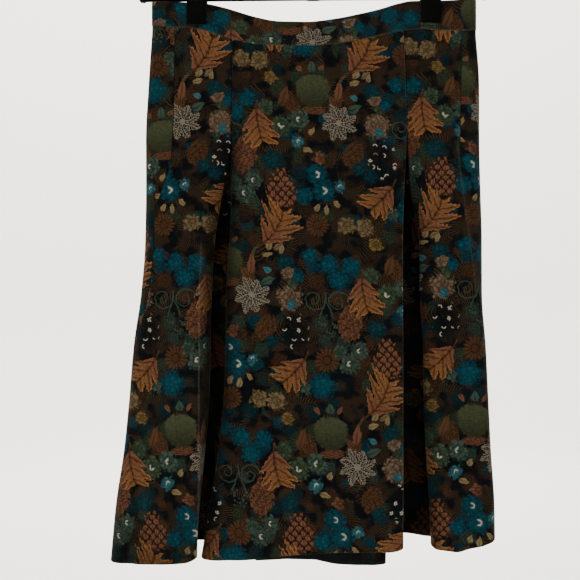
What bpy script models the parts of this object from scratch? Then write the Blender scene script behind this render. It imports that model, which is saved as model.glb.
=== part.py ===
"""A-line skirt with inverted pleats, hanging by its waistband from a clip hanger.

Run with: blender --background --python part.py

Frame: metres, +Z up.  The origin is the inner top of the hanger's hook, where a
rail carries it.  -Y is the skirt's front, +X is the viewer's right.  The tables
below are in millimetres.  "out" is a distance outwards from the mid-plane between
the front and the back of the flattened tube, so front cloth lies at y = -out and
back cloth at y = +out.  "layer" counts the plies of a pleat from the face inwards.
"""
import math

import bpy
import bmesh
from mathutils import Matrix, Vector

MM = 0.001

# ---------------------------------------------------------------- driving sizes
CLOTH = 1.5          # wall of the velveteen panels
BAND = 2.4           # wall of the doubled waistband
SEAM_GAP = 0.3       # clear space between two pieces at a seam
PLY = CLOTH + SEAM_GAP      # centre to centre of two plies that lie face to face
SIDE_GAP = 0.8       # front to back, edge to edge, at the side seams
BAND_SIDE_GAP = 1.4  # the same on the thicker band, whose edges lean
SETTLE = 90.0        # below the waist seam, the drop in which the panels find their own depth
BAND_TURN = 6.0      # length in which the band turns round each side seam
WAIST_LEVEL = -140.0 # where the panels' upper edges read the tables
HEM_LEVEL = -765.0   # where their lower edges do

RAIL_GRIP = 20.0     # inner radius of the hook
HOOK_WIRE = 1.75     # radius of the hook's wire
HOOK_NECK = 14.0     # straight stem under the ring, and the pull of the bend into it
HOOK_JOIN = -38.0    # degrees round the ring at which the bend meets it
HOOK_SWEEP = 238.0   # degrees from there to the tip
HOOK_SOCKET = 5.0    # depth of the hook's foot in the boss
BAR_DROP = 93.6      # from the hook's inner top to the bar's axis
BAR_RADIUS = 3.4
BAR_ENDS = (-213.0, 214.0)
BAR_TILT = 0.0087    # rise of the bar for each unit of length towards +X
BOSS_SIZE = 16.0     # width and depth of the saddle that carries the hook on the bar
BOSS_TOP = 11.0      # from the bar's axis up to the saddle's top
BOSS_MOUTH = 2.0     # from the bar's axis down to its open underside

CLIP_X = (-142.0, 143.0)
CLIP_WIDTH = 24.0
CLIP_REACH = 33.0    # from the bar's axis down to the jaws' lower edge
CLIP_LEVER = 15.0    # from the bar's axis up to the levers' upper edge
SLEEVE_WALL = 1.2
SLEEVE_INSET = 3.0   # how much shorter the sleeve is than the jaws, at each end
JAW_WALL = 2.4
JAW_CHEEK = 5.0      # half the height over which a jaw lies beside its sleeve
JAW_SPLAY = 1.8      # how far the lever leans out at its upper edge
JAW_LIP = 11.5       # from the bar's axis down to where a jaw meets the band
JAW_LIP_END = 2.0    # from there the lip ends this far above the jaw's lower edge
JAW_CLEAR = 0.4      # from the band's face to the lip

BUTTON_X = -7.0
BUTTON_RADIUS = 7.5
BUTTON_WALL = 2.6
BUTTON_STAND = 0.4   # length of the thread shank under the button
BUTTON_HOLE = 0.9    # radius of each of the four holes
BUTTON_HOLES_OUT = 1.6      # from the button's centre to each hole's
LAP_WIDTH = 16.0     # how far the right end of the back band laps over the left
LAP_LIFT = 12.0      # length in which the lap rises over the end below it
LAP_START = 1.0      # x at which it lies fully on that end
PLACKET_DROP = 180.0
PLACKET_RIGHT = 4.0  # x of the placket's right edge
PLACKET_CLEAR = 0.25 # its clearance over the two halves beside their ply

# How far a stretch between two folds bulges outwards in its middle.
FRONT_LEFT_BOW = 2.0
FRONT_CENTRE_BOW = 5.0
FRONT_RIGHT_BOW = -0.8
BACK_SIDE_BOW = 1.0
BACK_CENTRE_BOW = 0.8
BACK_SEAM_RISE = 3.0 # how much further out the centre back seam stands than its folds
BACK_TURN = 8.0      # width in which the back turns round each side seam

# Waistband: one row for each place along it, x from the left side seam to the right.
BAND_COLUMNS = ("x", "top_z", "seam_z", "front_top", "front_seam", "back_top", "back_seam")
BAND_ROWS = (
    (-196.5, -99.3, -128.0, 3.4, 4.8, 3.4, 4.8),
    (-188.0, -99.3, -129.3, 3.4, 5.4, 3.4, 5.2),
    (-172.0, -99.3, -130.9, 2.4, 5.6, 2.4, 5.2),
    (-154.5, -99.9, -131.2, 1.6, 4.7, 1.6, 4.7),
    (-142.0, -100.3, -132.6, 1.6, 4.6, 1.6, 4.6),
    (-130.0, -101.6, -135.3, 1.6, 4.8, 1.6, 4.8),
    (-107.5, -107.2, -143.4, 3.4, 8.5, 2.6, 6.4),
    (-89.0, -113.2, -149.4, 4.6, 11.5, 3.2, 7.4),
    (-71.0, -118.8, -153.2, 5.6, 13.6, 3.6, 8.4),
    (-41.0, -124.3, -155.6, 6.0, 16.0, 4.0, 9.2),
    (-8.0, -124.9, -156.2, 6.0, 17.0, 4.0, 9.6),
    (26.0, -121.2, -153.6, 6.0, 16.2, 4.0, 9.4),
    (56.0, -115.2, -148.3, 5.6, 13.8, 3.8, 8.6),
    (80.0, -109.2, -142.1, 4.6, 11.2, 3.4, 7.6),
    (105.0, -101.4, -136.4, 3.2, 8.4, 2.6, 6.6),
    (121.0, -98.2, -133.6, 2.0, 6.4, 1.9, 5.8),
    (131.0, -97.9, -132.4, 1.6, 4.8, 1.6, 4.8),
    (143.0, -97.9, -133.0, 1.6, 4.6, 1.6, 4.6),
    (156.0, -97.6, -134.1, 1.6, 4.7, 1.6, 4.7),
    (178.0, -96.9, -135.2, 2.4, 5.6, 2.4, 5.2),
    (190.0, -96.6, -134.6, 3.4, 5.4, 3.4, 5.2),
    (198.0, -96.6, -133.6, 3.4, 4.8, 3.4, 4.8),
)

# Front: where the folds stand at each level, as x.
FRONT_X_COLUMNS = ("z", "side_l", "turn_l", "fold_l", "knee_l", "centre_l",
                   "centre_r", "fold_r", "turn_r", "side_r")
FRONT_X_ROWS = (
    (-140, -196.8, -189.0, -127.3, -99.8, -97.6, 108.9, 111.2, 191.0, 198.2),
    (-203, -200.9, -192.0, -133.2, -99.9, -98.0, 110.5, 112.7, 184.0, 202.1),
    (-267, -204.0, -193.0, -134.7, -100.0, -97.9, 111.0, 113.8, 174.0, 202.1),
    (-330, -203.8, -193.5, -134.9, -110.5, -98.4, 108.1, 117.2, 179.0, 203.5),
    (-393, -204.7, -193.0, -135.2, -120.0, -100.9, 105.8, 128.1, 187.0, 204.9),
    (-457, -209.9, -193.0, -136.9, -123.8, -105.1, 105.4, 128.4, 195.0, 204.8),
    (-520, -219.1, -194.5, -137.2, -125.2, -105.6, 105.8, 132.5, 200.0, 209.4),
    (-583, -224.3, -199.0, -137.2, -126.7, -108.1, 105.5, 133.1, 203.0, 212.4),
    (-647, -230.8, -206.0, -137.2, -131.5, -115.0, 105.3, 135.5, 207.0, 215.4),
    (-710, -240.3, -215.0, -137.6, -137.6, -124.6, 105.1, 139.6, 210.0, 219.5),
    (-775, -246.4, -224.0, -138.2, -142.4, -135.3, 104.9, 141.6, 211.0, 220.4),
)

# Front: how far out the same folds stand, and the pleat underlays behind them.
FRONT_OUT_COLUMNS = ("z", "turn_l", "fold_l", "knee_l", "centre_l",
                     "centre_r", "fold_r", "turn_r", "deep_l", "deep_r")
FRONT_OUT_ROWS = (
    (-140, 5.0, 6.5, 8.0, 10.0, 8.5, 8.0, 6.0, 4.4, 4.6),
    (-203, 8.0, 9.5, 9.0, 13.0, 12.5, 11.0, 9.0, 5.0, 6.5),
    (-267, 10.0, 14.0, 10.0, 15.0, 17.0, 14.0, 14.0, 4.0, 7.5),
    (-330, 11.0, 19.0, 10.0, 17.0, 22.0, 16.0, 18.0, 2.0, 5.0),
    (-393, 12.0, 23.0, 11.0, 18.0, 26.0, 17.0, 20.0, 0.0, 2.0),
    (-520, 14.0, 30.0, 13.0, 18.0, 31.0, 18.0, 20.0, -1.0, 0.0),
    (-647, 16.0, 36.0, 18.0, 19.0, 35.0, 20.0, 22.0, 0.0, 0.0),
    (-775, 18.0, 40.0, 26.0, 21.0, 38.0, 22.0, 24.0, 1.0, 2.0),
)

# Back: the folds' x, and how far out they stand.
BACK_COLUMNS = ("z", "fold_l", "centre_l", "centre_r", "fold_r",
                "turn_out", "fold_out", "centre_out", "deep_out")
BACK_ROWS = (
    (-140, -98.4, -96.4, 96.4, 98.4, 5.0, 6.5, 7.0, 3.2),
    (-203, -99.0, -96.0, 96.2, 99.6, 7.0, 10.0, 11.0, 6.0),
    (-267, -103.0, -94.0, 96.0, 104.0, 8.0, 13.0, 14.0, 7.5),
    (-393, -117.0, -88.0, 95.0, 116.0, 10.0, 17.0, 19.0, 7.0),
    (-520, -130.0, -82.0, 94.0, 128.0, 12.0, 19.0, 21.0, 7.0),
    (-647, -139.0, -76.0, 93.0, 140.0, 14.0, 21.0, 22.0, 7.0),
    (-775, -147.0, -72.0, 90.5, 150.6, 16.0, 23.0, 23.0, 8.0),
)

# Pleats: how far each fold's return reaches behind it, how far it rolls back at
# the fold, and how much further it lies back at its sewn end.
PLEAT_COLUMNS = ("z", "reach", "roll", "soft_roll", "set_back")
PLEAT_ROWS = (
    (-140, 22.0, PLY, PLY, 0.0),
    (-267, 23.0, PLY, 2.2, 0.6),
    (-393, 25.0, 2.6, 4.5, 2.0),
    (-520, 27.0, 3.0, 6.0, 3.0),
    (-775, 28.0, 3.0, 6.0, 3.0),
)
PLEAT_SEAM = 9.0     # width in which an underlay lies face to face with a return
PLEAT_BOTTOM = 4.0   # how far the bottom of a pleat reaches behind each of its folds
SEWN_RADIUS = 3.0    # corner where an underlay leaves its seam
FOLD_RADIUS = 4.0    # corner of a soft fold

# Hems: x and z of the lower edges.
HEM_FRONT_LEFT = ((-247, -776.6), (-243, -780.1), (-221, -779.4), (-196, -778.4),
                  (-178, -776.8), (-153, -774.0), (-142, -769.4), (-138, -765.6))
HEM_FRONT_CENTRE = ((-136, -770.8), (-129, -773.9), (-117, -774.9), (-98, -773.3),
                    (-76, -772.3), (-57, -769.5), (-11, -763.8), (19, -761.4),
                    (43, -760.9), (87, -761.2), (101, -759.1), (105, -756.7))
HEM_FRONT_RIGHT = ((141, -757.0), (147, -761.8), (162, -763.6), (172, -765.0),
                   (186, -761.2), (199, -758.1), (207, -755.5), (221, -749.6))
HEM_FRONT_UNDERLAY_LEFT = ((-170, -757.0), (-138, -756.0), (-105, -757.0))
HEM_FRONT_UNDERLAY_RIGHT = ((75, -747.0), (110, -747.1), (144, -751.3), (170, -750.0))
HEM_BACK_CENTRE = ((-73, -788.2), (-28, -787.3), (3, -787.9), (33, -793.5),
                   (71, -794.7), (88, -792.9), (91, -792.3))
HEM_BACK_LEFT = ((-247, -775.0), (-240, -769.0), (-200, -768.0), (-147, -766.0))
HEM_BACK_RIGHT = ((150, -754.0), (180, -757.0), (212, -752.0), (221, -749.0))
HEM_BACK_UNDERLAY = ((-180, -742.0), (180, -742.0))
HEM_RISE = 4.0       # how much higher a pleat's hidden ply ends than its face

# Levels shared by every panel between the waist seam and the hem.
LEVELS = (-185, -235, -290, -350, -410, -470, -530, -590, -650, -705)


# ---------------------------------------------------------------- tables and curves
def smooth_curve(points):
    """A smooth curve through (position, value) rows, straight beyond both ends."""
    rows = sorted(points)
    at = [row[0] for row in rows]
    value = [row[1] for row in rows]
    slope = [(value[i + 1] - value[i]) / (at[i + 1] - at[i]) for i in range(len(at) - 1)]
    tangent = [slope[0]]
    for before, after in zip(slope, slope[1:]):
        turning = before * after <= 0
        tangent.append(0.0 if turning else 2 * before * after / (before + after))
    tangent.append(slope[-1])

    def read(position):
        if position <= at[0]:
            return value[0] + tangent[0] * (position - at[0])
        if position >= at[-1]:
            return value[-1] + tangent[-1] * (position - at[-1])
        i = max(k for k in range(len(at) - 1) if at[k] <= position)
        span = at[i + 1] - at[i]
        t = (position - at[i]) / span
        return (value[i] * (1 + 2 * t) * (1 - t) ** 2 + value[i + 1] * t * t * (3 - 2 * t)
                + span * tangent[i] * t * (1 - t) ** 2 + span * tangent[i + 1] * t * t * (t - 1))

    return read


def table(columns, rows):
    """Every column of a table as a smooth curve over its first column."""
    return {name: smooth_curve([(row[0], row[k]) for row in rows])
            for k, name in enumerate(columns) if k > 0}


def ease(t):
    t = min(1.0, max(0.0, t))
    return t * t * (3 - 2 * t)


BAND_AT = table(BAND_COLUMNS, BAND_ROWS)
FRONT_X = table(FRONT_X_COLUMNS, FRONT_X_ROWS)
FRONT_OUT = table(FRONT_OUT_COLUMNS, FRONT_OUT_ROWS)
BACK = table(BACK_COLUMNS, BACK_ROWS)
PLEAT = table(PLEAT_COLUMNS, PLEAT_ROWS)
BAND_LEFT = BAND_ROWS[0][0]
BAND_RIGHT = BAND_ROWS[-1][0]


def band_out(x, edge):
    """How far out the band's centre surface stands at one of its edges.

    At either side seam it falls to half the side gap on a quarter ellipse.
    """
    near = min(1.0, max(0.0, min(x - BAND_LEFT, BAND_RIGHT - x) / BAND_TURN))
    turn = math.sqrt(1 - (1 - near) ** 2)
    return BAND_SIDE_GAP / 2 + (BAND_AT[edge](x) - BAND_SIDE_GAP / 2) * turn


# ---------------------------------------------------------------- paths round the skirt
def trace(keys, stretches, corner_steps=2):
    """Points along a path of keys (x, out, layer, radius) with rounded corners.

    stretches holds (steps, bow) for each stretch between two keys.
    """
    spots = [Vector(key[:3]) for key in keys]
    starts, ends, corners = [spots[0]], [], []
    for i in range(1, len(spots) - 1):
        before, after = spots[i - 1] - spots[i], spots[i + 1] - spots[i]
        trim = min(keys[i][3], 0.45 * before.xy.length, 0.45 * after.xy.length)
        arrive = spots[i] + before * (trim / before.xy.length)
        leave = spots[i] + after * (trim / after.xy.length)
        ends.append(arrive)
        starts.append(leave)
        corners.append((arrive, spots[i], leave))
    ends.append(spots[-1])
    points = [starts[0]]
    for i, (steps, bow) in enumerate(stretches):
        for k in range(1, steps + 1):
            t = k / steps
            spot = starts[i].lerp(ends[i], t)
            spot.y += bow * math.sin(math.pi * t)
            points.append(spot)
        if i < len(corners):
            arrive, corner, leave = corners[i]
            for k in range(1, corner_steps + 1):
                t = k / corner_steps
                points.append(arrive * (1 - t) ** 2 + corner * (2 * t * (1 - t)) + leave * t * t)
    return points


def side_arc(side_x, turn_x, turn_out, steps=4):
    """From the side seam round a quarter ellipse onto the face."""
    points = []
    for k in range(steps):
        angle = math.pi / 2 * k / steps
        out = SIDE_GAP / 2 + (turn_out - SIDE_GAP / 2) * math.sin(angle)
        points.append(Vector((side_x + (turn_x - side_x) * (1 - math.cos(angle)), out, 0.0)))
    return points


def return_end(x, out, roll, towards, z):
    """The sewn end of a return that starts under a fold and runs behind it."""
    return x + towards * PLEAT["reach"](z), out - roll - PLEAT["set_back"](z)


def underlay_path(near, deep, far):
    """From behind one return, across the bottom of the pleat, to behind the other.

    near and far are each (fold x, out under the fold, end x, end out); deep is how far
    out the bottom lies.
    """
    fold_a, out_a, end_a, sewn_a = near
    fold_b, out_b, end_b, sewn_b = far
    slope_a = (out_a - sewn_a) / (fold_a - end_a)
    slope_b = (out_b - sewn_b) / (fold_b - end_b)
    keys = [(end_a, sewn_a - PLY, 2, 0),
            (end_a + PLEAT_SEAM, sewn_a - PLY + slope_a * PLEAT_SEAM, 2, SEWN_RADIUS),
            (fold_a - PLEAT_BOTTOM, deep, 2, FOLD_RADIUS),
            (fold_b + PLEAT_BOTTOM, deep, 2, FOLD_RADIUS),
            (end_b - PLEAT_SEAM, sewn_b - PLY - slope_b * PLEAT_SEAM, 2, SEWN_RADIUS),
            (end_b, sewn_b - PLY, 2, 0)]
    return trace(keys, [(1, 0), (1, 0), (2, 0), (1, 0), (1, 0)])


# ---------------------------------------------------------------- front pieces
def front_side_left(z):
    x, out = FRONT_X, FRONT_OUT
    turn = (x["turn_l"](z), out["turn_l"](z))
    knee = (x["knee_l"](z), out["knee_l"](z))
    roll = PLEAT["roll"](z)
    end = return_end(*knee, roll, -1, z)
    keys = [(*turn, 0, 0), (x["fold_l"](z), out["fold_l"](z), 0, FOLD_RADIUS),
            (*knee, 0, roll / 2), (knee[0], knee[1] - roll, 1, roll / 2), (*end, 1, 0)]
    arc = side_arc(x["side_l"](z), *turn)
    return arc + trace(keys, [(7, FRONT_LEFT_BOW), (3, 0), (1, 0), (2, 0)])


def front_side_right(z):
    x, out = FRONT_X, FRONT_OUT
    turn = (x["turn_r"](z), out["turn_r"](z))
    fold = (x["fold_r"](z), out["fold_r"](z))
    roll = PLEAT["roll"](z)
    end = return_end(*fold, roll, 1, z)
    keys = [(*end, 1, 0), (fold[0], fold[1] - roll, 1, roll / 2), (*fold, 0, roll / 2),
            (*turn, 0, 0)]
    arc = side_arc(x["side_r"](z), *turn)
    return trace(keys, [(2, 0), (1, 0), (6, FRONT_RIGHT_BOW)]) + arc[::-1]


def front_centre(z):
    x, out = FRONT_X, FRONT_OUT
    left = (x["centre_l"](z), out["centre_l"](z))
    right = (x["centre_r"](z), out["centre_r"](z))
    soft, crisp = PLEAT["soft_roll"](z), PLEAT["roll"](z)
    end_left = return_end(*left, soft, 1, z)
    end_right = return_end(*right, crisp, -1, z)
    keys = [(*end_left, 1, 0), (left[0], left[1] - soft, 1, soft / 2),
            (*left, 0, soft / 2), (*right, 0, crisp / 2),
            (right[0], right[1] - crisp, 1, crisp / 2), (*end_right, 1, 0)]
    return trace(keys, [(2, 0), (1, 0), (12, FRONT_CENTRE_BOW), (1, 0), (2, 0)])


def front_underlay_left(z):
    x, out = FRONT_X, FRONT_OUT
    crisp, soft = PLEAT["roll"](z), PLEAT["soft_roll"](z)
    knee = (x["knee_l"](z), out["knee_l"](z))
    centre = (x["centre_l"](z), out["centre_l"](z))
    return underlay_path((knee[0], knee[1] - crisp, *return_end(*knee, crisp, -1, z)),
                         out["deep_l"](z),
                         (centre[0], centre[1] - soft, *return_end(*centre, soft, 1, z)))


def front_underlay_right(z):
    x, out = FRONT_X, FRONT_OUT
    crisp = PLEAT["roll"](z)
    centre = (x["centre_r"](z), out["centre_r"](z))
    fold = (x["fold_r"](z), out["fold_r"](z))
    return underlay_path((centre[0], centre[1] - crisp, *return_end(*centre, crisp, -1, z)),
                         out["deep_r"](z),
                         (fold[0], fold[1] - crisp, *return_end(*fold, crisp, 1, z)))


# ---------------------------------------------------------------- back pieces
def back_side(z, hand):
    """hand is -1 for the left side of the back and +1 for the right."""
    side = "l" if hand < 0 else "r"
    fold = (BACK["fold_" + side](z), BACK["fold_out"](z))
    edge = FRONT_X["side_" + side](z)
    turn = (edge - hand * BACK_TURN, BACK["turn_out"](z))
    roll = PLEAT["roll"](z)
    end = return_end(*fold, roll, hand, z)
    keys = [(*turn, 0, 0), (*fold, 0, roll / 2), (fold[0], fold[1] - roll, 1, roll / 2),
            (*end, 1, 0)]
    path = side_arc(edge, *turn) + trace(keys, [(6, BACK_SIDE_BOW), (1, 0), (2, 0)])
    return path if hand < 0 else path[::-1]


def back_centre_line(z):
    """How far out the back's centre seam stands."""
    return BACK["centre_out"](z) + BACK_SEAM_RISE


def back_centre(z, hand):
    side = "l" if hand < 0 else "r"
    fold = (BACK["centre_" + side](z), BACK["centre_out"](z))
    roll = PLEAT["roll"](z)
    end = return_end(*fold, roll, -hand, z)
    keys = [(*end, 1, 0), (fold[0], fold[1] - roll, 1, roll / 2), (*fold, 0, roll / 2),
            (hand * SEAM_GAP / 2, back_centre_line(z), 0, 0)]
    path = trace(keys, [(2, 0), (1, 0), (6, BACK_CENTRE_BOW)])
    return path if hand < 0 else path[::-1]


def back_underlay(z, hand):
    side = "l" if hand < 0 else "r"
    roll = PLEAT["roll"](z)
    out, centre_out, deep = BACK["fold_out"](z), BACK["centre_out"](z), BACK["deep_out"](z)
    outer, inner = BACK["fold_" + side](z), BACK["centre_" + side](z)
    side_end = (outer, out - roll, *return_end(outer, out, roll, hand, z))
    centre_end = (inner, centre_out - roll, *return_end(inner, centre_out, roll, -hand, z))
    near, far = (side_end, centre_end) if hand < 0 else (centre_end, side_end)
    return underlay_path(near, deep, far)


# ---------------------------------------------------------------- surfaces
def hem_levels(ends, hem_points):
    """Where each column ends: the face at the hem, a hidden ply a little higher."""
    hem = smooth_curve(hem_points)
    left, right = hem_points[0][0], hem_points[-1][0]
    levels = []
    for point in ends:
        x = min(right, max(left, point.x))
        fold_x = min((left, right), key=lambda edge: abs(edge - x))
        face = hem(x)
        hidden = face if point.z > 1.5 else hem(fold_x) + HEM_RISE
        levels.append(face + (hidden - face) * min(1.0, point.z))
    return levels


def panel_rows(path, hem_points, front):
    """Rows of points from the waist seam down to the hem."""
    seam_edge = "front_seam" if front else "back_seam"
    sign = -1 if front else 1

    def place(point, z):
        level_out, layer = point.y, point.z
        hold = ease((z - BAND_AT["seam_z"](point.x) + SETTLE) / SETTLE)
        sewn_out = band_out(point.x, seam_edge) - PLY * layer
        out = level_out + (max(sewn_out, SIDE_GAP / 2) - level_out) * hold
        return Vector((point.x, sign * out, z))

    waist = path(WAIST_LEVEL)
    rows = [[place(p, BAND_AT["seam_z"](p.x) - SEAM_GAP / 2) for p in waist]]
    for z in LEVELS:
        rows.append([place(p, z) for p in path(z)])
    ends = hem_levels(path(HEM_LEVEL), hem_points)
    rows.append([place(path(z)[k], z) for k, z in enumerate(ends)])
    return rows


def band_rows(left, right, front, lap=False):
    """Rows of points from the band's upper edge down to the waist seam."""
    turn = [BAND_TURN * (1 - math.cos(math.pi / 2 * k / 4)) for k in range(5)]
    start = [left + t for t in turn] if left <= BAND_LEFT else [left]
    end = [right - t for t in turn[::-1]] if right >= BAND_RIGHT else [right]
    inset = 1.5 * BAND_TURN
    xs = start + [row[0] for row in BAND_ROWS if left + inset < row[0] < right - inset] + end
    if lap:
        xs = sorted(set(xs + [LAP_START + LAP_LIFT * share for share in (0.0, 0.25, 0.6, 1.0)]))
    edges = ("front_top", "front_seam") if front else ("back_top", "back_seam")
    sign = -1 if front else 1
    steps = 3
    rows = []
    for k in range(steps + 1):
        t = k / steps
        row = []
        for x in xs:
            top, seam = BAND_AT["top_z"](x), BAND_AT["seam_z"](x) + SEAM_GAP
            out = band_out(x, edges[0]) * (1 - t) + band_out(x, edges[1]) * t
            if lap:
                out += (BAND + SEAM_GAP) * ease((LAP_START + LAP_LIFT - x) / LAP_LIFT)
            row.append(Vector((x, sign * out, top + (seam - top) * t)))
        rows.append(row)
    return rows


def placket_rows():
    """The lapped edge of the back opening, lying on the two centre halves."""
    lower = BAND_AT["seam_z"](0) - PLACKET_DROP
    steps = 4
    xs = [-LAP_WIDTH + (PLACKET_RIGHT + LAP_WIDTH) * k / steps for k in range(steps + 1)]
    levels = [[BAND_AT["seam_z"](x) - SEAM_GAP for x in xs]]
    levels += [[z] * len(xs) for z in LEVELS if z > lower] + [[lower] * len(xs)]
    rows = []
    for heights in levels:
        row = []
        for x, z in zip(xs, heights):
            path = back_centre(z, -1 if x < 0 else 1)
            line = smooth_curve([(p.x, p.y) for p in path if p.z == 0.0])
            hold = ease((z - BAND_AT["seam_z"](x) + SETTLE) / SETTLE)
            out = line(x) + (band_out(x, "back_seam") - line(x)) * hold
            row.append(Vector((x, out + PLY + PLACKET_CLEAR, z)))
        rows.append(row)
    return rows


# ---------------------------------------------------------------- objects
def clear_scene():
    for item in list(bpy.data.objects):
        bpy.data.objects.remove(item, do_unlink=True)


def material(name, colour, roughness, metallic=0.0):
    made = bpy.data.materials.new(name)
    made.use_nodes = True
    shader = made.node_tree.nodes["Principled BSDF"]
    shader.inputs["Base Color"].default_value = (*colour, 1.0)
    shader.inputs["Roughness"].default_value = roughness
    shader.inputs["Metallic"].default_value = metallic
    return made


def add_object(name, mesh, finish, collection):
    made = bpy.data.objects.new(name, mesh)
    mesh.materials.clear()
    mesh.materials.append(finish)
    collection.objects.link(made)
    return made


def cloth_piece(name, rows, wall, front, finish, collection):
    """A sheet through rows of points, thickened evenly about its centre surface."""
    mesh = bpy.data.meshes.new(name)
    build = bmesh.new()
    grid = [[build.verts.new(point * MM) for point in row] for row in rows]
    for upper, lower in zip(grid, grid[1:]):
        for k in range(len(upper) - 1):
            corners = (upper[k], lower[k], lower[k + 1], upper[k + 1])
            build.faces.new(corners if front else corners[::-1])
    build.to_mesh(mesh)
    build.free()
    piece = add_object(name, mesh, finish, collection)
    shell = piece.modifiers.new("cloth wall", "SOLIDIFY")
    shell.thickness = wall * MM
    shell.offset = 0.0
    shell.use_even_offset = True
    shell.use_quality_normals = True
    for face in mesh.polygons:
        face.use_smooth = True
    return piece


def build_skirt(finish, button_finish, collection):
    pieces = (
        ("front_side_left", front_side_left, HEM_FRONT_LEFT, True),
        ("front_centre", front_centre, HEM_FRONT_CENTRE, True),
        ("front_side_right", front_side_right, HEM_FRONT_RIGHT, True),
        ("front_underlay_left", front_underlay_left, HEM_FRONT_UNDERLAY_LEFT, True),
        ("front_underlay_right", front_underlay_right, HEM_FRONT_UNDERLAY_RIGHT, True),
        ("back_side_left", lambda z: back_side(z, -1), HEM_BACK_LEFT, False),
        ("back_side_right", lambda z: back_side(z, 1), HEM_BACK_RIGHT, False),
        ("back_centre_left", lambda z: back_centre(z, -1), HEM_BACK_CENTRE[:3], False),
        ("back_centre_right", lambda z: back_centre(z, 1), HEM_BACK_CENTRE[2:], False),
        ("back_underlay_left", lambda z: back_underlay(z, -1), HEM_BACK_UNDERLAY, False),
        ("back_underlay_right", lambda z: back_underlay(z, 1), HEM_BACK_UNDERLAY, False),
    )
    for name, path, hem, front in pieces:
        cloth_piece(name, panel_rows(path, hem, front), CLOTH, front, finish, collection)
    bands = (
        ("waistband_front", band_rows(BAND_LEFT, BAND_RIGHT, True), True),
        ("waistband_back_left", band_rows(BAND_LEFT, 0.0, False), False),
        ("waistband_back_right", band_rows(-LAP_WIDTH, BAND_RIGHT, False, lap=True), False),
    )
    for name, rows, front in bands:
        cloth_piece(name, rows, BAND, front, finish, collection)
    cloth_piece("back_placket", placket_rows(), CLOTH, False, finish, collection)
    build_button(button_finish, collection)


def turned(name, profile, finish, collection, steps=24):
    """A solid of revolution about local Z: its profile of (radius, height) runs top to bottom."""
    mesh = bpy.data.meshes.new(name)
    build = bmesh.new()
    ring = [build.verts.new((radius * MM, 0, height * MM)) for radius, height in profile]
    for a, b in zip(ring, ring[1:]):
        build.edges.new((a, b))
    build.to_mesh(mesh)
    build.free()
    piece = add_object(name, mesh, finish, collection)
    turn = piece.modifiers.new("turn", "SCREW")
    turn.steps = turn.render_steps = steps
    turn.use_merge_vertices = True
    turn.merge_threshold = 0.00001
    turn.use_smooth_shade = True
    return piece


BUTTON_COLUMNS = ("share of the radius", "share of the wall")
BUTTON_PROFILE = ((0.0, 0.62), (0.55, 0.62), (0.68, 1.0), (0.86, 1.0), (1.0, 0.6),
                  (1.0, 0.25), (0.9, 0.0), (0.0, 0.0))


def build_button(finish, collection):
    """A plain four-hole button lying on the lap of the back band."""
    top_z, seam_z = BAND_AT["top_z"](BUTTON_X), BAND_AT["seam_z"](BUTTON_X)
    top, seam = band_out(BUTTON_X, "back_top"), band_out(BUTTON_X, "back_seam")
    lean = math.atan2(seam - top, top_z - seam_z)
    face = BAND / 2 + BAND + SEAM_GAP + BUTTON_STAND
    middle = Vector((BUTTON_X, (top + seam) / 2, (top_z + seam_z) / 2))
    outward = Vector((0, math.cos(lean), math.sin(lean)))
    profile = [(BUTTON_RADIUS * r, BUTTON_WALL * h) for r, h in BUTTON_PROFILE]
    button = turned("waist_button", profile, finish, collection)
    place = Matrix.Translation((middle + outward * face) * MM)
    place = place @ outward.to_track_quat("Z", "Y").to_matrix().to_4x4()
    button.matrix_world = place
    for k in range(4):
        angle = math.pi / 4 + math.pi / 2 * k
        offset = Vector((math.cos(angle), math.sin(angle), 0)) * BUTTON_HOLES_OUT * MM
        drill(button, f"button_hole_{k}", BUTTON_HOLE, 4 * BUTTON_WALL,
              place @ Matrix.Translation(offset), 10)


def cutter_collection():
    found = bpy.data.collections.get("cutters")
    if not found:
        found = bpy.data.collections.new("cutters")
        bpy.context.scene.collection.children.link(found)
    return found


def drill(piece, name, radius, depth, place, segments=20):
    """Cuts a round hole through the piece, along the local Z of place."""
    hole = bmesh.new()
    bmesh.ops.create_cone(hole, cap_ends=True, segments=segments, radius1=radius * MM,
                          radius2=radius * MM, depth=depth * MM)
    mesh = bpy.data.meshes.new(name)
    hole.to_mesh(mesh)
    hole.free()
    cutter = bpy.data.objects.new(name, mesh)
    cutter_collection().objects.link(cutter)
    cutter.matrix_world = place
    cutter.hide_render = True
    cutter.display_type = "WIRE"
    cut = piece.modifiers.new(name, "BOOLEAN")
    cut.operation = "DIFFERENCE"
    cut.object = cutter


# ---------------------------------------------------------------- hanger
def bar_axis_z(x):
    return -BAR_DROP + BAR_TILT * x


def along_bar(x):
    """A frame on the bar's axis whose local Z runs along the bar."""
    tilt = math.atan(BAR_TILT)
    return (Matrix.Translation(Vector((x, 0, bar_axis_z(x))) * MM)
            @ Matrix.Rotation(-tilt, 4, "Y") @ Matrix.Rotation(math.pi / 2, 4, "Y"))


BAR_CAP_COLUMNS = ("radius", "drop below the bar's end")
BAR_CAP = ((0.0, 0.0), (2.5, 0.5), (4.1, 2.0), (4.6, 4.0), (4.6, 7.0), (BAR_RADIUS, 9.0))


def build_bar(finish, collection):
    """The round bar, with a small knob on each end."""
    half = (BAR_ENDS[1] - BAR_ENDS[0]) / 2
    profile = [(r, half - drop) for r, drop in BAR_CAP]
    profile += [(r, -height) for r, height in profile[::-1]]
    bar = turned("hanger_bar", profile, finish, collection, steps=20)
    bar.matrix_world = along_bar((BAR_ENDS[0] + BAR_ENDS[1]) / 2)


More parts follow.
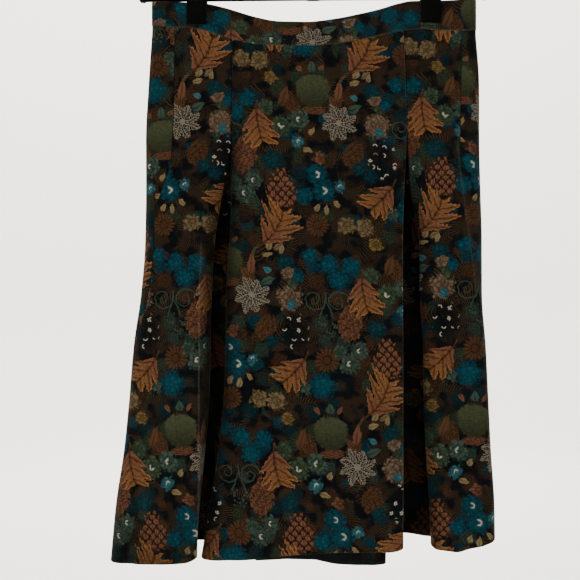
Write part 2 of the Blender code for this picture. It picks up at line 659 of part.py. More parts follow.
def build_boss(finish, collection):
    """A saddle snapped over the bar from above, with a socket for the hook's foot."""
    mesh = bpy.data.meshes.new("hook_boss")
    build = bmesh.new()
    bmesh.ops.create_cube(build, size=1.0)
    size = Vector((BOSS_SIZE, BOSS_SIZE, BOSS_TOP + BOSS_MOUTH)) * MM
    bmesh.ops.scale(build, vec=size, verts=build.verts)
    build.to_mesh(mesh)
    build.free()
    boss = add_object("hook_boss", mesh, finish, collection)
    axis = bar_axis_z(0)
    boss.location = Vector((0, 0, axis + (BOSS_TOP - BOSS_MOUTH) / 2)) * MM
    edges = boss.modifiers.new("soft edges", "BEVEL")
    edges.width = 1.2 * MM
    edges.segments = 2
    drill(boss, "boss_bore", BAR_RADIUS + SEAM_GAP, 2 * BOSS_SIZE, along_bar(0))
    socket = Matrix.Translation(Vector((0, 0, axis + BOSS_TOP)) * MM)
    drill(boss, "boss_socket", HOOK_WIRE + SEAM_GAP, 2 * (HOOK_SOCKET + SEAM_GAP), socket)


def tube(name, points, radius, finish, collection, sides=2):
    """A wire along points: a curve with round section and filled caps."""
    curve = bpy.data.curves.new(name, "CURVE")
    curve.dimensions = "3D"
    curve.bevel_depth = radius * MM
    curve.bevel_resolution = sides
    curve.use_fill_caps = True
    line = curve.splines.new("POLY")
    line.points.add(len(points) - 1)
    for spot, point in zip(line.points, points):
        spot.co = (*(point * MM), 1.0)
    made = bpy.data.objects.new(name, curve)
    curve.materials.append(finish)
    collection.objects.link(made)
    return made


def build_hook(finish, collection):
    """Stem up from the boss, round to the side, and over the rail to an open tip."""
    ring = RAIL_GRIP + HOOK_WIRE
    centre_z = -RAIL_GRIP

    def on_ring(angle):
        return Vector((ring * math.cos(angle), 0, centre_z + ring * math.sin(angle)))

    foot = Vector((0, 0, bar_axis_z(0) + BOSS_TOP - HOOK_SOCKET))
    neck = Vector((0, 0, centre_z - ring - HOOK_NECK))
    start = math.radians(HOOK_JOIN)
    join = on_ring(start)
    heading = Vector((-math.sin(start), 0, math.cos(start)))
    pull_up, pull_back = neck + Vector((0, 0, HOOK_NECK)), join - heading * HOOK_NECK
    points = [foot, foot.lerp(neck, 0.5), neck]
    bend_steps = 8
    for k in range(1, bend_steps):
        t = k / bend_steps
        points.append(neck * (1 - t) ** 3 + pull_up * (3 * t * (1 - t) ** 2)
                      + pull_back * (3 * t * t * (1 - t)) + join * t ** 3)
    ring_steps = 22
    for k in range(ring_steps + 1):
        points.append(on_ring(start + math.radians(HOOK_SWEEP) * k / ring_steps))
    tube("hanger_hook", points, HOOK_WIRE, finish, collection)


def build_clip(tag, x, finish, collection):
    """Two jaws that meet the band, either side of a sleeve on the bar."""
    bore = BAR_RADIUS + SEAM_GAP
    sleeve_out = bore + SLEEVE_WALL
    half = CLIP_WIDTH / 2 - SLEEVE_INSET
    profile = [(bore, half), (sleeve_out, half), (sleeve_out, -half), (bore, -half), (bore, half)]
    sleeve = turned(f"clip_{tag}_sleeve", profile, finish, collection, steps=20)
    sleeve.matrix_world = along_bar(x)
    outline = jaw_outline(x, bar_axis_z(x), sleeve_out + SEAM_GAP)
    for side, sign in (("front", -1), ("back", 1)):
        build_jaw(f"clip_{tag}_{side}_jaw", x, outline, sign, finish, collection)


def jaw_outline(x, axis, inner):
    """A jaw's section as (out, z): lever, cheek beside the sleeve, and lip on the band."""
    outer = inner + JAW_WALL
    low = axis - CLIP_REACH
    lip_top, lip_low = axis - JAW_LIP, low + JAW_LIP_END

    def band_face(z):
        t = (BAND_AT["top_z"](x) - z) / (BAND_AT["top_z"](x) - BAND_AT["seam_z"](x))
        out = band_out(x, "front_top") * (1 - t) + band_out(x, "front_seam") * t
        return out + BAND / 2 + JAW_CLEAR

    return [(outer + JAW_SPLAY, axis + CLIP_LEVER), (inner + JAW_SPLAY, axis + CLIP_LEVER),
            (inner, axis + JAW_CHEEK), (inner, lip_top + JAW_SPLAY),
            (band_face(lip_top), lip_top), (band_face(lip_low), lip_low),
            (band_face(lip_low) + JAW_WALL / 2, low), (outer - JAW_WALL / 2, low),
            (outer, low + JAW_WALL / 2), (outer, axis + JAW_CHEEK)]


def build_jaw(name, x, outline, sign, finish, collection):
    """A flat outline drawn across the bar, extruded to the clip's width along it."""
    curve = bpy.data.curves.new(f"{name}_outline", "CURVE")
    curve.dimensions = "2D"
    curve.fill_mode = "BOTH"
    curve.extrude = CLIP_WIDTH / 2 * MM
    line = curve.splines.new("POLY")
    line.points.add(len(outline) - 1)
    line.use_cyclic_u = True
    for spot, (out, z) in zip(line.points, outline):
        spot.co = (sign * out * MM, z * MM, 0, 1.0)
    shape = bpy.data.objects.new(curve.name, curve)
    bpy.context.scene.collection.objects.link(shape)
    across_bar = Matrix(((0, 0, 1, 0), (1, 0, 0, 0), (0, 1, 0, 0), (0, 0, 0, 1)))
    bpy.context.view_layer.update()
    evaluated = shape.evaluated_get(bpy.context.evaluated_depsgraph_get())
    mesh = bpy.data.meshes.new_from_object(evaluated)
    bpy.data.objects.remove(shape, do_unlink=True)
    weld = bmesh.new()
    weld.from_mesh(mesh)
    bmesh.ops.remove_doubles(weld, verts=weld.verts, dist=0.00001)
    bmesh.ops.dissolve_limit(weld, angle_limit=0.01, verts=weld.verts, edges=weld.edges)
    bmesh.ops.recalc_face_normals(weld, faces=weld.faces)
    if weld.calc_volume(signed=True) < 0:
        bmesh.ops.reverse_faces(weld, faces=weld.faces)
    weld.to_mesh(mesh)
    weld.free()
    jaw = add_object(name, mesh, finish, collection)
    jaw.matrix_world = Matrix.Translation(Vector((x, 0, 0)) * MM) @ across_bar
    edges = jaw.modifiers.new("soft edges", "BEVEL")
    edges.width = 0.4 * MM
    edges.segments = 1


def main():
    clear_scene()
    skirt = bpy.data.collections.new("a_line_skirt")
    bpy.context.scene.collection.children.link(skirt)
    velveteen = material("printed velveteen", (0.035, 0.04, 0.038), 0.9)
    horn = material("dark button", (0.02, 0.018, 0.016), 0.35)
    plastic = material("black plastic", (0.012, 0.012, 0.013), 0.45)
    steel = material("bright steel", (0.62, 0.62, 0.62), 0.25, 1.0)
    build_skirt(velveteen, horn, skirt)
    build_bar(plastic, skirt)
    build_boss(plastic, skirt)
    build_hook(steel, skirt)
    for tag, x in zip(("left", "right"), CLIP_X):
        build_clip(tag, x, plastic, skirt)
    bpy.context.view_layer.update()


main()
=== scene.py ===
"""Looks of the a-line skirt on its clip hanger: cloth shells, print, seams, stage and light.

Frame: metres, +Z up, origin at the inner top of the hook, -Y the skirt's front.  The
tables are in millimetres and are those of the CAD source, read here at finer steps, so
each shell lies on its solid.  "out" is a distance outwards from the mid-plane between
front and back; "layer" counts the plies of a pleat from the face inwards.
"""
import math
from functools import partial
from types import SimpleNamespace

import bpy
import numpy as np
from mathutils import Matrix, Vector


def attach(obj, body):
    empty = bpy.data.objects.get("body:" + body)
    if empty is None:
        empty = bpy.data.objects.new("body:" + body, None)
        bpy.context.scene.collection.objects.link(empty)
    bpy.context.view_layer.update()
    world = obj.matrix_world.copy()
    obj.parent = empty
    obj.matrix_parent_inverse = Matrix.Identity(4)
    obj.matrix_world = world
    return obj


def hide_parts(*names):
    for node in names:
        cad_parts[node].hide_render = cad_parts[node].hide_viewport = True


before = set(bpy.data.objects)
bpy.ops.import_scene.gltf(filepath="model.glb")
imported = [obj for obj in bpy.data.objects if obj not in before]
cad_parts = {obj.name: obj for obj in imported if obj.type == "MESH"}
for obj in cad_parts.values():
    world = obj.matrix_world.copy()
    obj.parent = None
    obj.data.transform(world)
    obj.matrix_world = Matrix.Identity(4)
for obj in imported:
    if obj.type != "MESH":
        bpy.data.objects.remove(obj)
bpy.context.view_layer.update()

MM = 0.001

# ---------------- sizes, as in the CAD
CLOTH = 1.5          # wall of the velveteen panels
BAND = 2.4           # wall of the doubled waistband
SEAM_GAP = 0.3
PLY = CLOTH + SEAM_GAP
SETTLE = 90.0        # below the waist seam, the drop in which the panels find their own depth
BAND_DROP = 30.0     # about the depth of the waistband
BAND_TURN = 6.0      # length in which the band turns round each side seam
PLEAT_SEAM = 9.0     # width in which an underlay lies face to face with a return
PLEAT_BOTTOM = 4.0   # how far the bottom of a pleat reaches behind each of its folds
SEWN_RADIUS = 3.0    # corner where an underlay leaves its seam
FOLD_RADIUS = 4.0    # corner of a soft fold
LAP_WIDTH = 16.0
LAP_LIFT = 12.0      # length in which the lap of the back band rises over the end below it
LAP_START = 1.0      # x at which it lies fully on that end
PLACKET_DROP = 180.0
PLACKET_RIGHT = 4.0
PLACKET_CLEAR = 0.25
FRONT_LEFT_BOW = 2.0 # how far each stretch between two folds bulges in its middle
FRONT_CENTRE_BOW = 5.0
FRONT_RIGHT_BOW = -0.8
BACK_SIDE_BOW = 1.0
BACK_CENTRE_BOW = 0.8
BACK_SEAM_RISE = 3.0 # how much further out the centre back seam stands than its folds
BACK_TURN = 8.0      # width in which the back turns round each side seam
BUTTON_X = -7.0
HEM_RISE = 4.0
WAIST_LEVEL = -140.0
HEM_LEVEL = -765.0

FOLD_HIGHLIGHT = 0.28     # strength of the painted highlight along a fold
SEAM_HIGHLIGHT = 0.8      # the same painted highlight along the waist seam, as a share of a fold's
PRINT_TONE = 0.52    # how dark the deep pile makes its dyes
INNER_SHADE = 0.22     # tone of the cloth inside a pleat: painted shade
SEAM_HIGHLIGHT_ROW = 1.4      # width of the narrow row at the waist seam that carries its painted highlight
DRAWN_SEAM = 0.01    # gap at the centre back and the side seams, which the stitches pull shut
PRESSED_GAP = 0.15   # gap between a pleat's two folds where it is pressed shut
PRESSED_SHIFT = 0.6  # the most that a fold is drawn over for that
PRESSED_TO = -300.0  # height at which the pleats open
PRESS_FADE = 60.0    # height in which that comes to its full
SHELL = 1.3          # wall of the shells that show
BAND_SHELL = 2.2
ROLLED = 0.3         # width of their rounded edges, as a share of the wall
ROW_STEP = 6.0       # height of one row of a panel's grid
FINE = 4             # grid steps for each step of the CAD
CORNER_STEPS = 6
HEIGHTS = (-820, -90)        # reach of the curves that are sampled over z, and over x
WIDTHS = (-260, 230)
PATH_HEIGHTS = (-96, -808, -8)     # from, to and step
BAND_STEPS = 13      # rows of the band's grid, and points round each of its ends
BAND_STEP = 3.0      # width of one of its columns
PLACKET_STEPS = (46, 21)     # rows and columns
CREASE_FADE = 4      # a crease fades over a quarter of its length at either end
ROLL_FADE = 90.0     # drop in which a fold begins to roll in, and its painted shade with it
FULL_JUMP = 5.0      # a print's jump that has the whole groove

BAND_COLUMNS = "x top_z seam_z front_top front_seam back_top back_seam".split()
BAND_ROWS = (
    (-196.5, -99.3, -128, 3.4, 4.8, 3.4, 4.8),
    (-188, -99.3, -129.3, 3.4, 5.4, 3.4, 5.2),
    (-172, -99.3, -130.9, 2.4, 5.6, 2.4, 5.2),
    (-154.5, -99.9, -131.2, 1.6, 4.7, 1.6, 4.7),
    (-142, -100.3, -132.6, 1.6, 4.6, 1.6, 4.6),
    (-130, -101.6, -135.3, 1.6, 4.8, 1.6, 4.8),
    (-107.5, -107.2, -143.4, 3.4, 8.5, 2.6, 6.4),
    (-89, -113.2, -149.4, 4.6, 11.5, 3.2, 7.4),
    (-71, -118.8, -153.2, 5.6, 13.6, 3.6, 8.4),
    (-41, -124.3, -155.6, 6, 16, 4, 9.2),
    (-8, -124.9, -156.2, 6, 17, 4, 9.6),
    (26, -121.2, -153.6, 6, 16.2, 4, 9.4),
    (56, -115.2, -148.3, 5.6, 13.8, 3.8, 8.6),
    (80, -109.2, -142.1, 4.6, 11.2, 3.4, 7.6),
    (105, -101.4, -136.4, 3.2, 8.4, 2.6, 6.6),
    (121, -98.2, -133.6, 2, 6.4, 1.9, 5.8),
    (131, -97.9, -132.4, 1.6, 4.8, 1.6, 4.8),
    (143, -97.9, -133, 1.6, 4.6, 1.6, 4.6),
    (156, -97.6, -134.1, 1.6, 4.7, 1.6, 4.7),
    (178, -96.9, -135.2, 2.4, 5.6, 2.4, 5.2),
    (190, -96.6, -134.6, 3.4, 5.4, 3.4, 5.2),
    (198, -96.6, -133.6, 3.4, 4.8, 3.4, 4.8),
)

FRONT_X_COLUMNS = "z side_l turn_l fold_l knee_l centre_l centre_r fold_r turn_r side_r".split()
FRONT_X_ROWS = (
    (-140, -196.8, -189, -127.3, -99.8, -97.6, 108.9, 111.2, 191, 198.2),
    (-203, -200.9, -192, -133.2, -99.9, -98, 110.5, 112.7, 184, 202.1),
    (-267, -204, -193, -134.7, -100, -97.9, 111, 113.8, 174, 202.1),
    (-330, -203.8, -193.5, -134.9, -110.5, -98.4, 108.1, 117.2, 179, 203.5),
    (-393, -204.7, -193, -135.2, -120, -100.9, 105.8, 128.1, 187, 204.9),
    (-457, -209.9, -193, -136.9, -123.8, -105.1, 105.4, 128.4, 195, 204.8),
    (-520, -219.1, -194.5, -137.2, -125.2, -105.6, 105.8, 132.5, 200, 209.4),
    (-583, -224.3, -199, -137.2, -126.7, -108.1, 105.5, 133.1, 203, 212.4),
    (-647, -230.8, -206, -137.2, -131.5, -115, 105.3, 135.5, 207, 215.4),
    (-710, -240.3, -215, -137.6, -137.6, -124.6, 105.1, 139.6, 210, 219.5),
    (-775, -246.4, -224, -138.2, -142.4, -135.3, 104.9, 141.6, 211, 220.4),
)

FRONT_OUT_COLUMNS = "z turn_l fold_l knee_l centre_l centre_r fold_r turn_r deep_l deep_r".split()
FRONT_OUT_ROWS = (
    (-140, 5, 6.5, 8, 10, 8.5, 8, 6, 4.4, 4.6),
    (-203, 8, 9.5, 9, 13, 12.5, 11, 9, 5, 6.5),
    (-267, 10, 14, 10, 15, 17, 14, 14, 4, 7.5),
    (-330, 11, 19, 10, 17, 22, 16, 18, 2, 5),
    (-393, 12, 23, 11, 18, 26, 17, 20, 0, 2),
    (-520, 14, 30, 13, 18, 31, 18, 20, -1, 0),
    (-647, 16, 36, 18, 19, 35, 20, 22, 0, 0),
    (-775, 18, 40, 26, 21, 38, 22, 24, 1, 2),
)

BACK_COLUMNS = "z fold_l centre_l centre_r fold_r turn_out fold_out centre_out deep_out".split()
BACK_ROWS = (
    (-140, -98.4, -96.4, 96.4, 98.4, 5, 6.5, 7, 3.2),
    (-203, -99, -96, 96.2, 99.6, 7, 10, 11, 6),
    (-267, -103, -94, 96, 104, 8, 13, 14, 7.5),
    (-393, -117, -88, 95, 116, 10, 17, 19, 7),
    (-520, -130, -82, 94, 128, 12, 19, 21, 7),
    (-647, -139, -76, 93, 140, 14, 21, 22, 7),
    (-775, -147, -72, 90.5, 150.6, 16, 23, 23, 8),
)

JOIN_COLUMNS = ("z", "x", "u shift", "v shift")
JOIN_ROWS = {
    # the line past which a side panel shows another place of the print, and how far off:
    # on the left a seam that has turned to the front, and on the right a dart
    "front_side_left": [(z, x, -3.6, -55.4) for z, x in (
        (-130, -169), (-215, -169.1), (-293, -172.1), (-324, -181.2), (-360, -192.1),
        (-414, -194.5), (-463, -201), (-540, -224))],
    "front_side_right": (
        (-130, 180.5, 30, 0), (-175, 179.7, 27, 0), (-226, 178.2, 20, 0),
        (-286, 176.7, 9, 0), (-335, 179, 0, 0), (-800, 179, 0, 0)),
}
JOIN_GROOVE = 0.9    # depth and half width of the groove along it
JOIN_WIDTH = 2.4
JOIN_LINE = 0.7      # half width of its dark line
RIDGE_HIGHLIGHT_WIDTH = 1.1     # half width of the painted highlight along a ridge
ROLL_IN = 16.0       # width in which a soft fold rolls into its pleat and darkens with painted shade
HIGHLIGHT_FADE = 40.0     # drop in which that painted highlight begins and ends

PLEAT_COLUMNS = ("z", "reach", "roll", "soft_roll", "set_back")
PLEAT_ROWS = (
    (-140, 22, PLY, PLY, 0),
    (-267, 23, PLY, 2.2, 0.6),
    (-393, 25, 2.6, 4.5, 2),
    (-520, 27, 3, 6, 3),
    (-775, 28, 3, 6, 3),
)

HEM_FRONT_LEFT = ((-247, -776.6), (-243, -780.1), (-221, -779.4), (-196, -778.4),
                  (-178, -776.8), (-153, -774), (-142, -769.4), (-138, -765.6))
HEM_FRONT_CENTRE = ((-136, -770.8), (-129, -773.9), (-117, -774.9), (-98, -773.3),
                    (-76, -772.3), (-57, -769.5), (-11, -763.8), (19, -761.4),
                    (43, -760.9), (87, -761.2), (101, -759.1), (105, -756.7))
HEM_FRONT_RIGHT = ((141, -757), (147, -761.8), (162, -763.6), (172, -765),
                   (186, -761.2), (199, -758.1), (207, -755.5), (221, -749.6))
HEM_FRONT_UNDERLAY_LEFT = ((-170, -757), (-138, -756), (-105, -757))
HEM_FRONT_UNDERLAY_RIGHT = ((75, -747), (110, -747.1), (144, -751.3), (170, -750))
HEM_BACK_CENTRE = ((-73, -788.2), (-28, -787.3), (3, -787.9), (33, -793.5),
                   (71, -794.7), (88, -792.9), (91, -792.3))
HEM_BACK_LEFT = ((-247, -775), (-240, -769), (-200, -768), (-147, -766))
HEM_BACK_RIGHT = ((150, -754), (180, -757), (212, -752), (221, -749))
HEM_BACK_UNDERLAY = ((-180, -742), (180, -742))


# ---------------- tables and curves
def smooth_curve(points):
    """A smooth curve through (position, value) rows, straight beyond both ends."""
    rows = sorted(points)
    at = [row[0] for row in rows]
    value = [row[1] for row in rows]
    slope = [(value[i + 1] - value[i]) / (at[i + 1] - at[i]) for i in range(len(at) - 1)]
    tangent = [slope[0]]
    for before, after in zip(slope, slope[1:]):
        turning = before * after <= 0
        tangent.append(0.0 if turning else 2 * before * after / (before + after))
    tangent.append(slope[-1])

    def read(position):
        if position <= at[0]:
            return value[0] + tangent[0] * (position - at[0])
        if position >= at[-1]:
            return value[-1] + tangent[-1] * (position - at[-1])
        i = max(k for k in range(len(at) - 1) if at[k] <= position)
        span = at[i + 1] - at[i]
        t = (position - at[i]) / span
        return (value[i] * (1 + 2 * t) * (1 - t) ** 2 + value[i + 1] * t * t * (3 - 2 * t)
                + span * tangent[i] * t * (1 - t) ** 2 + span * tangent[i + 1] * t * t * (t - 1))

    return read


def table(columns, rows):
    """Every column of a table as a smooth curve over its first column."""
    return {name: smooth_curve([(row[0], row[k]) for row in rows])
            for k, name in enumerate(columns) if k > 0}


BAND_AT = table(BAND_COLUMNS, BAND_ROWS)
FRONT_X = table(FRONT_X_COLUMNS, FRONT_X_ROWS)
FRONT_OUT = table(FRONT_OUT_COLUMNS, FRONT_OUT_ROWS)
BACK = table(BACK_COLUMNS, BACK_ROWS)
PLEAT = table(PLEAT_COLUMNS, PLEAT_ROWS)
BAND_LEFT = BAND_ROWS[0][0]
BAND_RIGHT = BAND_ROWS[-1][0]


def ease(t):
    """From 0 to 1, starting and stopping gently."""
    t = np.clip(t, 0.0, 1.0)
    return t * t * (3 - 2 * t)


def press_shut(reads, left, right):
    """Draws two facing folds together down to where the pleat between them opens."""
    left_at, right_at = reads[left], reads[right]

    def shift(z):
        gap = right_at(z) - left_at(z) - SHELL - PRESSED_GAP
        return min(PRESSED_SHIFT, max(0.0, gap / 2)) * float(ease((z - PRESSED_TO) / PRESS_FADE))

    reads[left] = lambda z: left_at(z) + shift(z)
    reads[right] = lambda z: right_at(z) - shift(z)


press_shut(FRONT_X, "knee_l", "centre_l")
press_shut(FRONT_X, "centre_r", "fold_r")
press_shut(BACK, "fold_l", "centre_l")
press_shut(BACK, "centre_r", "fold_r")


def sampled(read, low, high, step=1.0):
    """A curve as a function of arrays, from samples a step apart."""
    at = np.arange(low, high + step, step)
    values = np.array([read(x) for x in at])
    return lambda x: np.interp(x, at, values)


def band_out_at(edge):
    """How far out the band's centre surface stands at one of its edges, for arrays of x."""
    read = BAND_AT[edge]

    def out(x):
        near = min(1.0, max(0.0, min(x - BAND_LEFT, BAND_RIGHT - x) / BAND_TURN))
        turn = math.sqrt(1 - (1 - near) ** 2)
        return DRAWN_SEAM / 2 + (read(x) - DRAWN_SEAM / 2) * turn

    return sampled(out, BAND_LEFT - 60, BAND_RIGHT + 30, 0.5)


BAND_OUT = {edge: band_out_at(edge) for edge in BAND_COLUMNS[3:]}
SEAM_Z = sampled(BAND_AT["seam_z"], *WIDTHS)
TOP_Z = sampled(BAND_AT["top_z"], *WIDTHS)


# ---------------- paths round the skirt
HAND = {"l": -1, "r": 1}     # the side of +x of each side of the skirt, as seen from the front


def trace(keys, stretches):
    """Points (x, out, layer) along a path of keys (x, out, layer, radius), corners rounded."""
    spots = [Vector(key[:3]) for key in keys]
    starts, ends, corners = [spots[0]], [], []
    for i in range(1, len(spots) - 1):
        before, after = spots[i - 1] - spots[i], spots[i + 1] - spots[i]
        trim = min(keys[i][3], 0.45 * before.xy.length, 0.45 * after.xy.length)
        ends.append(spots[i] + before * (trim / before.xy.length))
        starts.append(spots[i] + after * (trim / after.xy.length))
        corners.append((ends[-1], spots[i], starts[-1]))
    ends.append(spots[-1])
    points = [starts[0]]
    for i, (steps, bow) in enumerate(stretches):
        for k in range(1, steps * FINE + 1):
            t = k / (steps * FINE)
            spot = starts[i].lerp(ends[i], t)
            spot.y += bow * math.sin(math.pi * t)
            points.append(spot)
        if i < len(corners):
            arrive, corner, leave = corners[i]
            for t in np.linspace(0, 1, CORNER_STEPS + 1)[1:]:
                points.append(arrive * (1 - t) ** 2 + corner * (2 * t * (1 - t)) + leave * t * t)
    return points


def side_arc(side_x, turn_x, turn_out):
    """From the side seam round a quarter ellipse onto the face."""
    points = []
    for angle in np.linspace(0, math.pi / 2, 4 * FINE, endpoint=False):
        out = DRAWN_SEAM / 2 + (turn_out - DRAWN_SEAM / 2) * math.sin(angle)
        points.append(Vector((side_x + (turn_x - side_x) * (1 - math.cos(angle)), out, 0.0)))
    return points


def under(at, roll, towards, z):
    """Where cloth turns under a fold, and the sewn end of the return that runs behind it."""
    x, out = at
    end = (x + towards * PLEAT["reach"](z), out - roll - PLEAT["set_back"](z))
    return (x, out - roll), end


def folded_edge(at, roll, towards, z):
    """The keys from a return's sewn end, under its fold and round onto the face."""
    bend, end = under(at, roll, towards, z)
    return [(*end, 1, 0), (*bend, 1, roll / 2), (*at, 0, roll / 2)]


def underlay_path(near, deep, far):
    """From behind one return, across the bottom of the pleat, to behind the other."""
    (fold_a, out_a), (end_a, sewn_a) = near
    (fold_b, out_b), (end_b, sewn_b) = far
    slope_a = (out_a - sewn_a) / (fold_a - end_a)
    slope_b = (out_b - sewn_b) / (fold_b - end_b)
    keys = [(end_a, sewn_a - PLY, 2, 0),
            (end_a + PLEAT_SEAM, sewn_a - PLY + slope_a * PLEAT_SEAM, 2, SEWN_RADIUS),
            (fold_a - PLEAT_BOTTOM, deep, 2, FOLD_RADIUS),
            (fold_b + PLEAT_BOTTOM, deep, 2, FOLD_RADIUS),
            (end_b - PLEAT_SEAM, sewn_b - PLY - slope_b * PLEAT_SEAM, 2, SEWN_RADIUS),
            (end_b, sewn_b - PLY, 2, 0)]
    return trace(keys, [(1, 0), (1, 0), (2, 0), (1, 0), (1, 0)])


def front_at(name, z):
    return FRONT_X[name](z), FRONT_OUT[name](z)


def back_at(place, side, z):
    return BACK[f"{place}_{side}"](z), BACK[f"{place}_out"](z)


def front_side_left(z):
    turn = front_at("turn_l", z)
    keys = [(*turn, 0, 0), (*front_at("fold_l", z), 0, FOLD_RADIUS),
            *folded_edge(front_at("knee_l", z), PLEAT["roll"](z), -1, z)[::-1]]
    face = trace(keys, [(7, FRONT_LEFT_BOW), (3, 0), (1, 0), (2, 0)])
    return side_arc(FRONT_X["side_l"](z), *turn) + face


def front_side_right(z):
    turn = front_at("turn_r", z)
    keys = [*folded_edge(front_at("fold_r", z), PLEAT["roll"](z), 1, z), (*turn, 0, 0)]
    face = trace(keys, [(2, 0), (1, 0), (6, FRONT_RIGHT_BOW)])
    return face + side_arc(FRONT_X["side_r"](z), *turn)[::-1]


def front_centre(z):
    keys = [*folded_edge(front_at("centre_l", z), PLEAT["soft_roll"](z), 1, z),
            *folded_edge(front_at("centre_r", z), PLEAT["roll"](z), -1, z)[::-1]]
    return trace(keys, [(2, 0), (1, 0), (12, FRONT_CENTRE_BOW), (1, 0), (2, 0)])


def front_underlay(near, deep, far, far_roll, z):
    """Between two folds of the front, whose names are near and far."""
    near_end = under(front_at(near, z), PLEAT["roll"](z), -1, z)
    far_end = under(front_at(far, z), PLEAT[far_roll](z), 1, z)
    return underlay_path(near_end, FRONT_OUT[deep](z), far_end)


def back_side(side, z):
    hand, edge = HAND[side], FRONT_X["side_" + side](z)
    turn = (edge - hand * BACK_TURN, BACK["turn_out"](z))
    keys = [(*turn, 0, 0), *folded_edge(back_at("fold", side, z), PLEAT["roll"](z), hand, z)[::-1]]
    path = side_arc(edge, *turn) + trace(keys, [(6, BACK_SIDE_BOW), (1, 0), (2, 0)])
    return path[::-hand]


def back_centre(side, z):
    hand, fold = HAND[side], back_at("centre", side, z)
    keys = [*folded_edge(fold, PLEAT["roll"](z), -hand, z),
            (hand * DRAWN_SEAM / 2, fold[1] + BACK_SEAM_RISE, 0, 0)]
    return trace(keys, [(2, 0), (1, 0), (6, BACK_CENTRE_BOW)])[::-hand]


def back_underlay(side, z):
    hand, roll = HAND[side], PLEAT["roll"](z)
    ends = [under(back_at("fold", side, z), roll, hand, z),
            under(back_at("centre", side, z), roll, -hand, z)]
    near, far = ends[::-hand]
    return underlay_path(near, BACK["deep_out"](z), far)


# ---------------- grids
def row_shares(rows, drop):
    """The share of a piece's drop at each row, with a narrow row for the seam at either end."""
    line = SEAM_HIGHLIGHT_ROW / drop
    return np.concatenate([[0, line], np.linspace(0, 1, rows)[1:-1], [1 - line, 1]])[:, None]


def arc_along(x, out):
    """The length along each row from its first point."""
    steps = np.hypot(np.diff(x, axis=1), np.diff(out, axis=1))
    return np.pad(np.cumsum(steps, axis=1), ((0, 0), (1, 0)))


def held(x, z):
    """1 at the waist seam, where the band holds the cloth, and 0 where it hangs free."""
    return ease((z - SEAM_Z(x) + SETTLE) / SETTLE)


def hem_heights(path, hem_points):
    """The height of the hem along a path; a return's hem lies a little above its fold's."""
    hem = smooth_curve(hem_points)
    ends = (hem_points[0][0], hem_points[-1][0])
    low = []
    for x, _, layer in path(HEM_LEVEL):
        x = min(ends[1], max(ends[0], x))
        fold_x = min(ends, key=lambda edge: abs(edge - x))
        rise = hem(fold_x) + HEM_RISE - hem(x) if layer < 1.5 else 0.0
        low.append(hem(x) + rise * min(1.0, layer))
    return np.array(low)


def panel_grid(path, hem_points, front, creases=()):
    """A panel's centre surface as arrays over (row, column): x, out, z, layer and arc length."""
    levels = np.arange(*PATH_HEIGHTS)
    paths = np.array([path(z) for z in levels])
    top = SEAM_Z(np.array(path(WAIST_LEVEL))[:, 0]) - SEAM_GAP / 2
    low = hem_heights(path, hem_points)
    rows = int((top.max() - low.min()) / ROW_STEP) + 1
    z = top + (low - top) * row_shares(rows, rows * ROW_STEP)
    x, level_out, layer = (
        np.stack([np.interp(-z[:, k], -levels, paths[:, k, i]) for k in range(z.shape[1])], 1)
        for i in range(3))
    hold = held(x, z)
    sewn_out = BAND_OUT["front_seam" if front else "back_seam"](x) - PLY * layer
    out = level_out + (np.maximum(sewn_out, DRAWN_SEAM / 2) - level_out) * hold
    arc = arc_along(x, out)
    for crease in creases:
        out = out + crease_depth(x, z, *crease) * np.clip(1 - layer, 0, 1) * (1 - hold)
    return {"x": x, "out": out, "z": z, "layer": layer, "arc": arc}


def crease_depth(x, z, x_1, z_1, x_2, z_2, width, depth):
    """A soft ridge (depth > 0) or trough along a line, fading at both ends."""
    dx, dz = x_2 - x_1, z_2 - z_1
    length = math.hypot(dx, dz)
    along = ((x - x_1) * dx + (z - z_1) * dz) / length ** 2
    across = np.abs((x - x_1) * dz - (z - z_1) * dx) / length
    fade = ease(along * CREASE_FADE) * ease((1 - along) * CREASE_FADE)
    return depth * np.exp(-(across / width) ** 2) * fade


def at_heights(read, z):
    """A curve over z, read for a whole grid."""
    return sampled(read, *HEIGHTS)(z)


def join_panel(grid, rows, hand):
    """Grooves a panel along its join, and notes how its print jumps there."""
    x, u, v = (at_heights(read, grid["z"]) for read in table(JOIN_COLUMNS, rows).values())
    grid["past join"] = past = hand * (grid["x"] - x)
    grid["join cut"] = np.stack([u, v, 0 * x], -1) * MM
    share = np.clip(np.hypot(u, v) / FULL_JUMP, 0, 1)
    grid["out"] = grid["out"] - JOIN_GROOVE * share * np.exp(-(past / JOIN_WIDTH) ** 2)


def rolled_in_shade(grid, start, end, top, share):
    """Painted shade where a face rolls into a pleat: between two lines, or over ROLL_IN before the
    second.
    """
    x_end = at_heights(FRONT_X[end], grid["z"])
    x_start = at_heights(FRONT_X[start], grid["z"]) if start else x_end + ROLL_IN
    width = x_end - x_start
    span = np.where(np.abs(width) < 1.0, np.sign(width) + 1e-9, width)
    gone = ease((grid["x"] - x_start) / span) * ease(np.abs(width) / 8)
    return share * gone * ease((top - grid["z"]) / ROLL_FADE) * (grid["layer"] < 1)


def worn_ridge(grid, edge, top, end, share):
    """A painted highlight along a ridge of the face, between two heights."""
    z = grid["z"]
    ends = ease((top - z) / HIGHLIGHT_FADE) * ease((z - end) / HIGHLIGHT_FADE)
    near = np.exp(-((grid["x"] - at_heights(FRONT_X[edge], z)) / RIDGE_HIGHLIGHT_WIDTH) ** 2)
    return share * near * ends * np.clip(1 - grid["layer"] * 2, 0, 1)


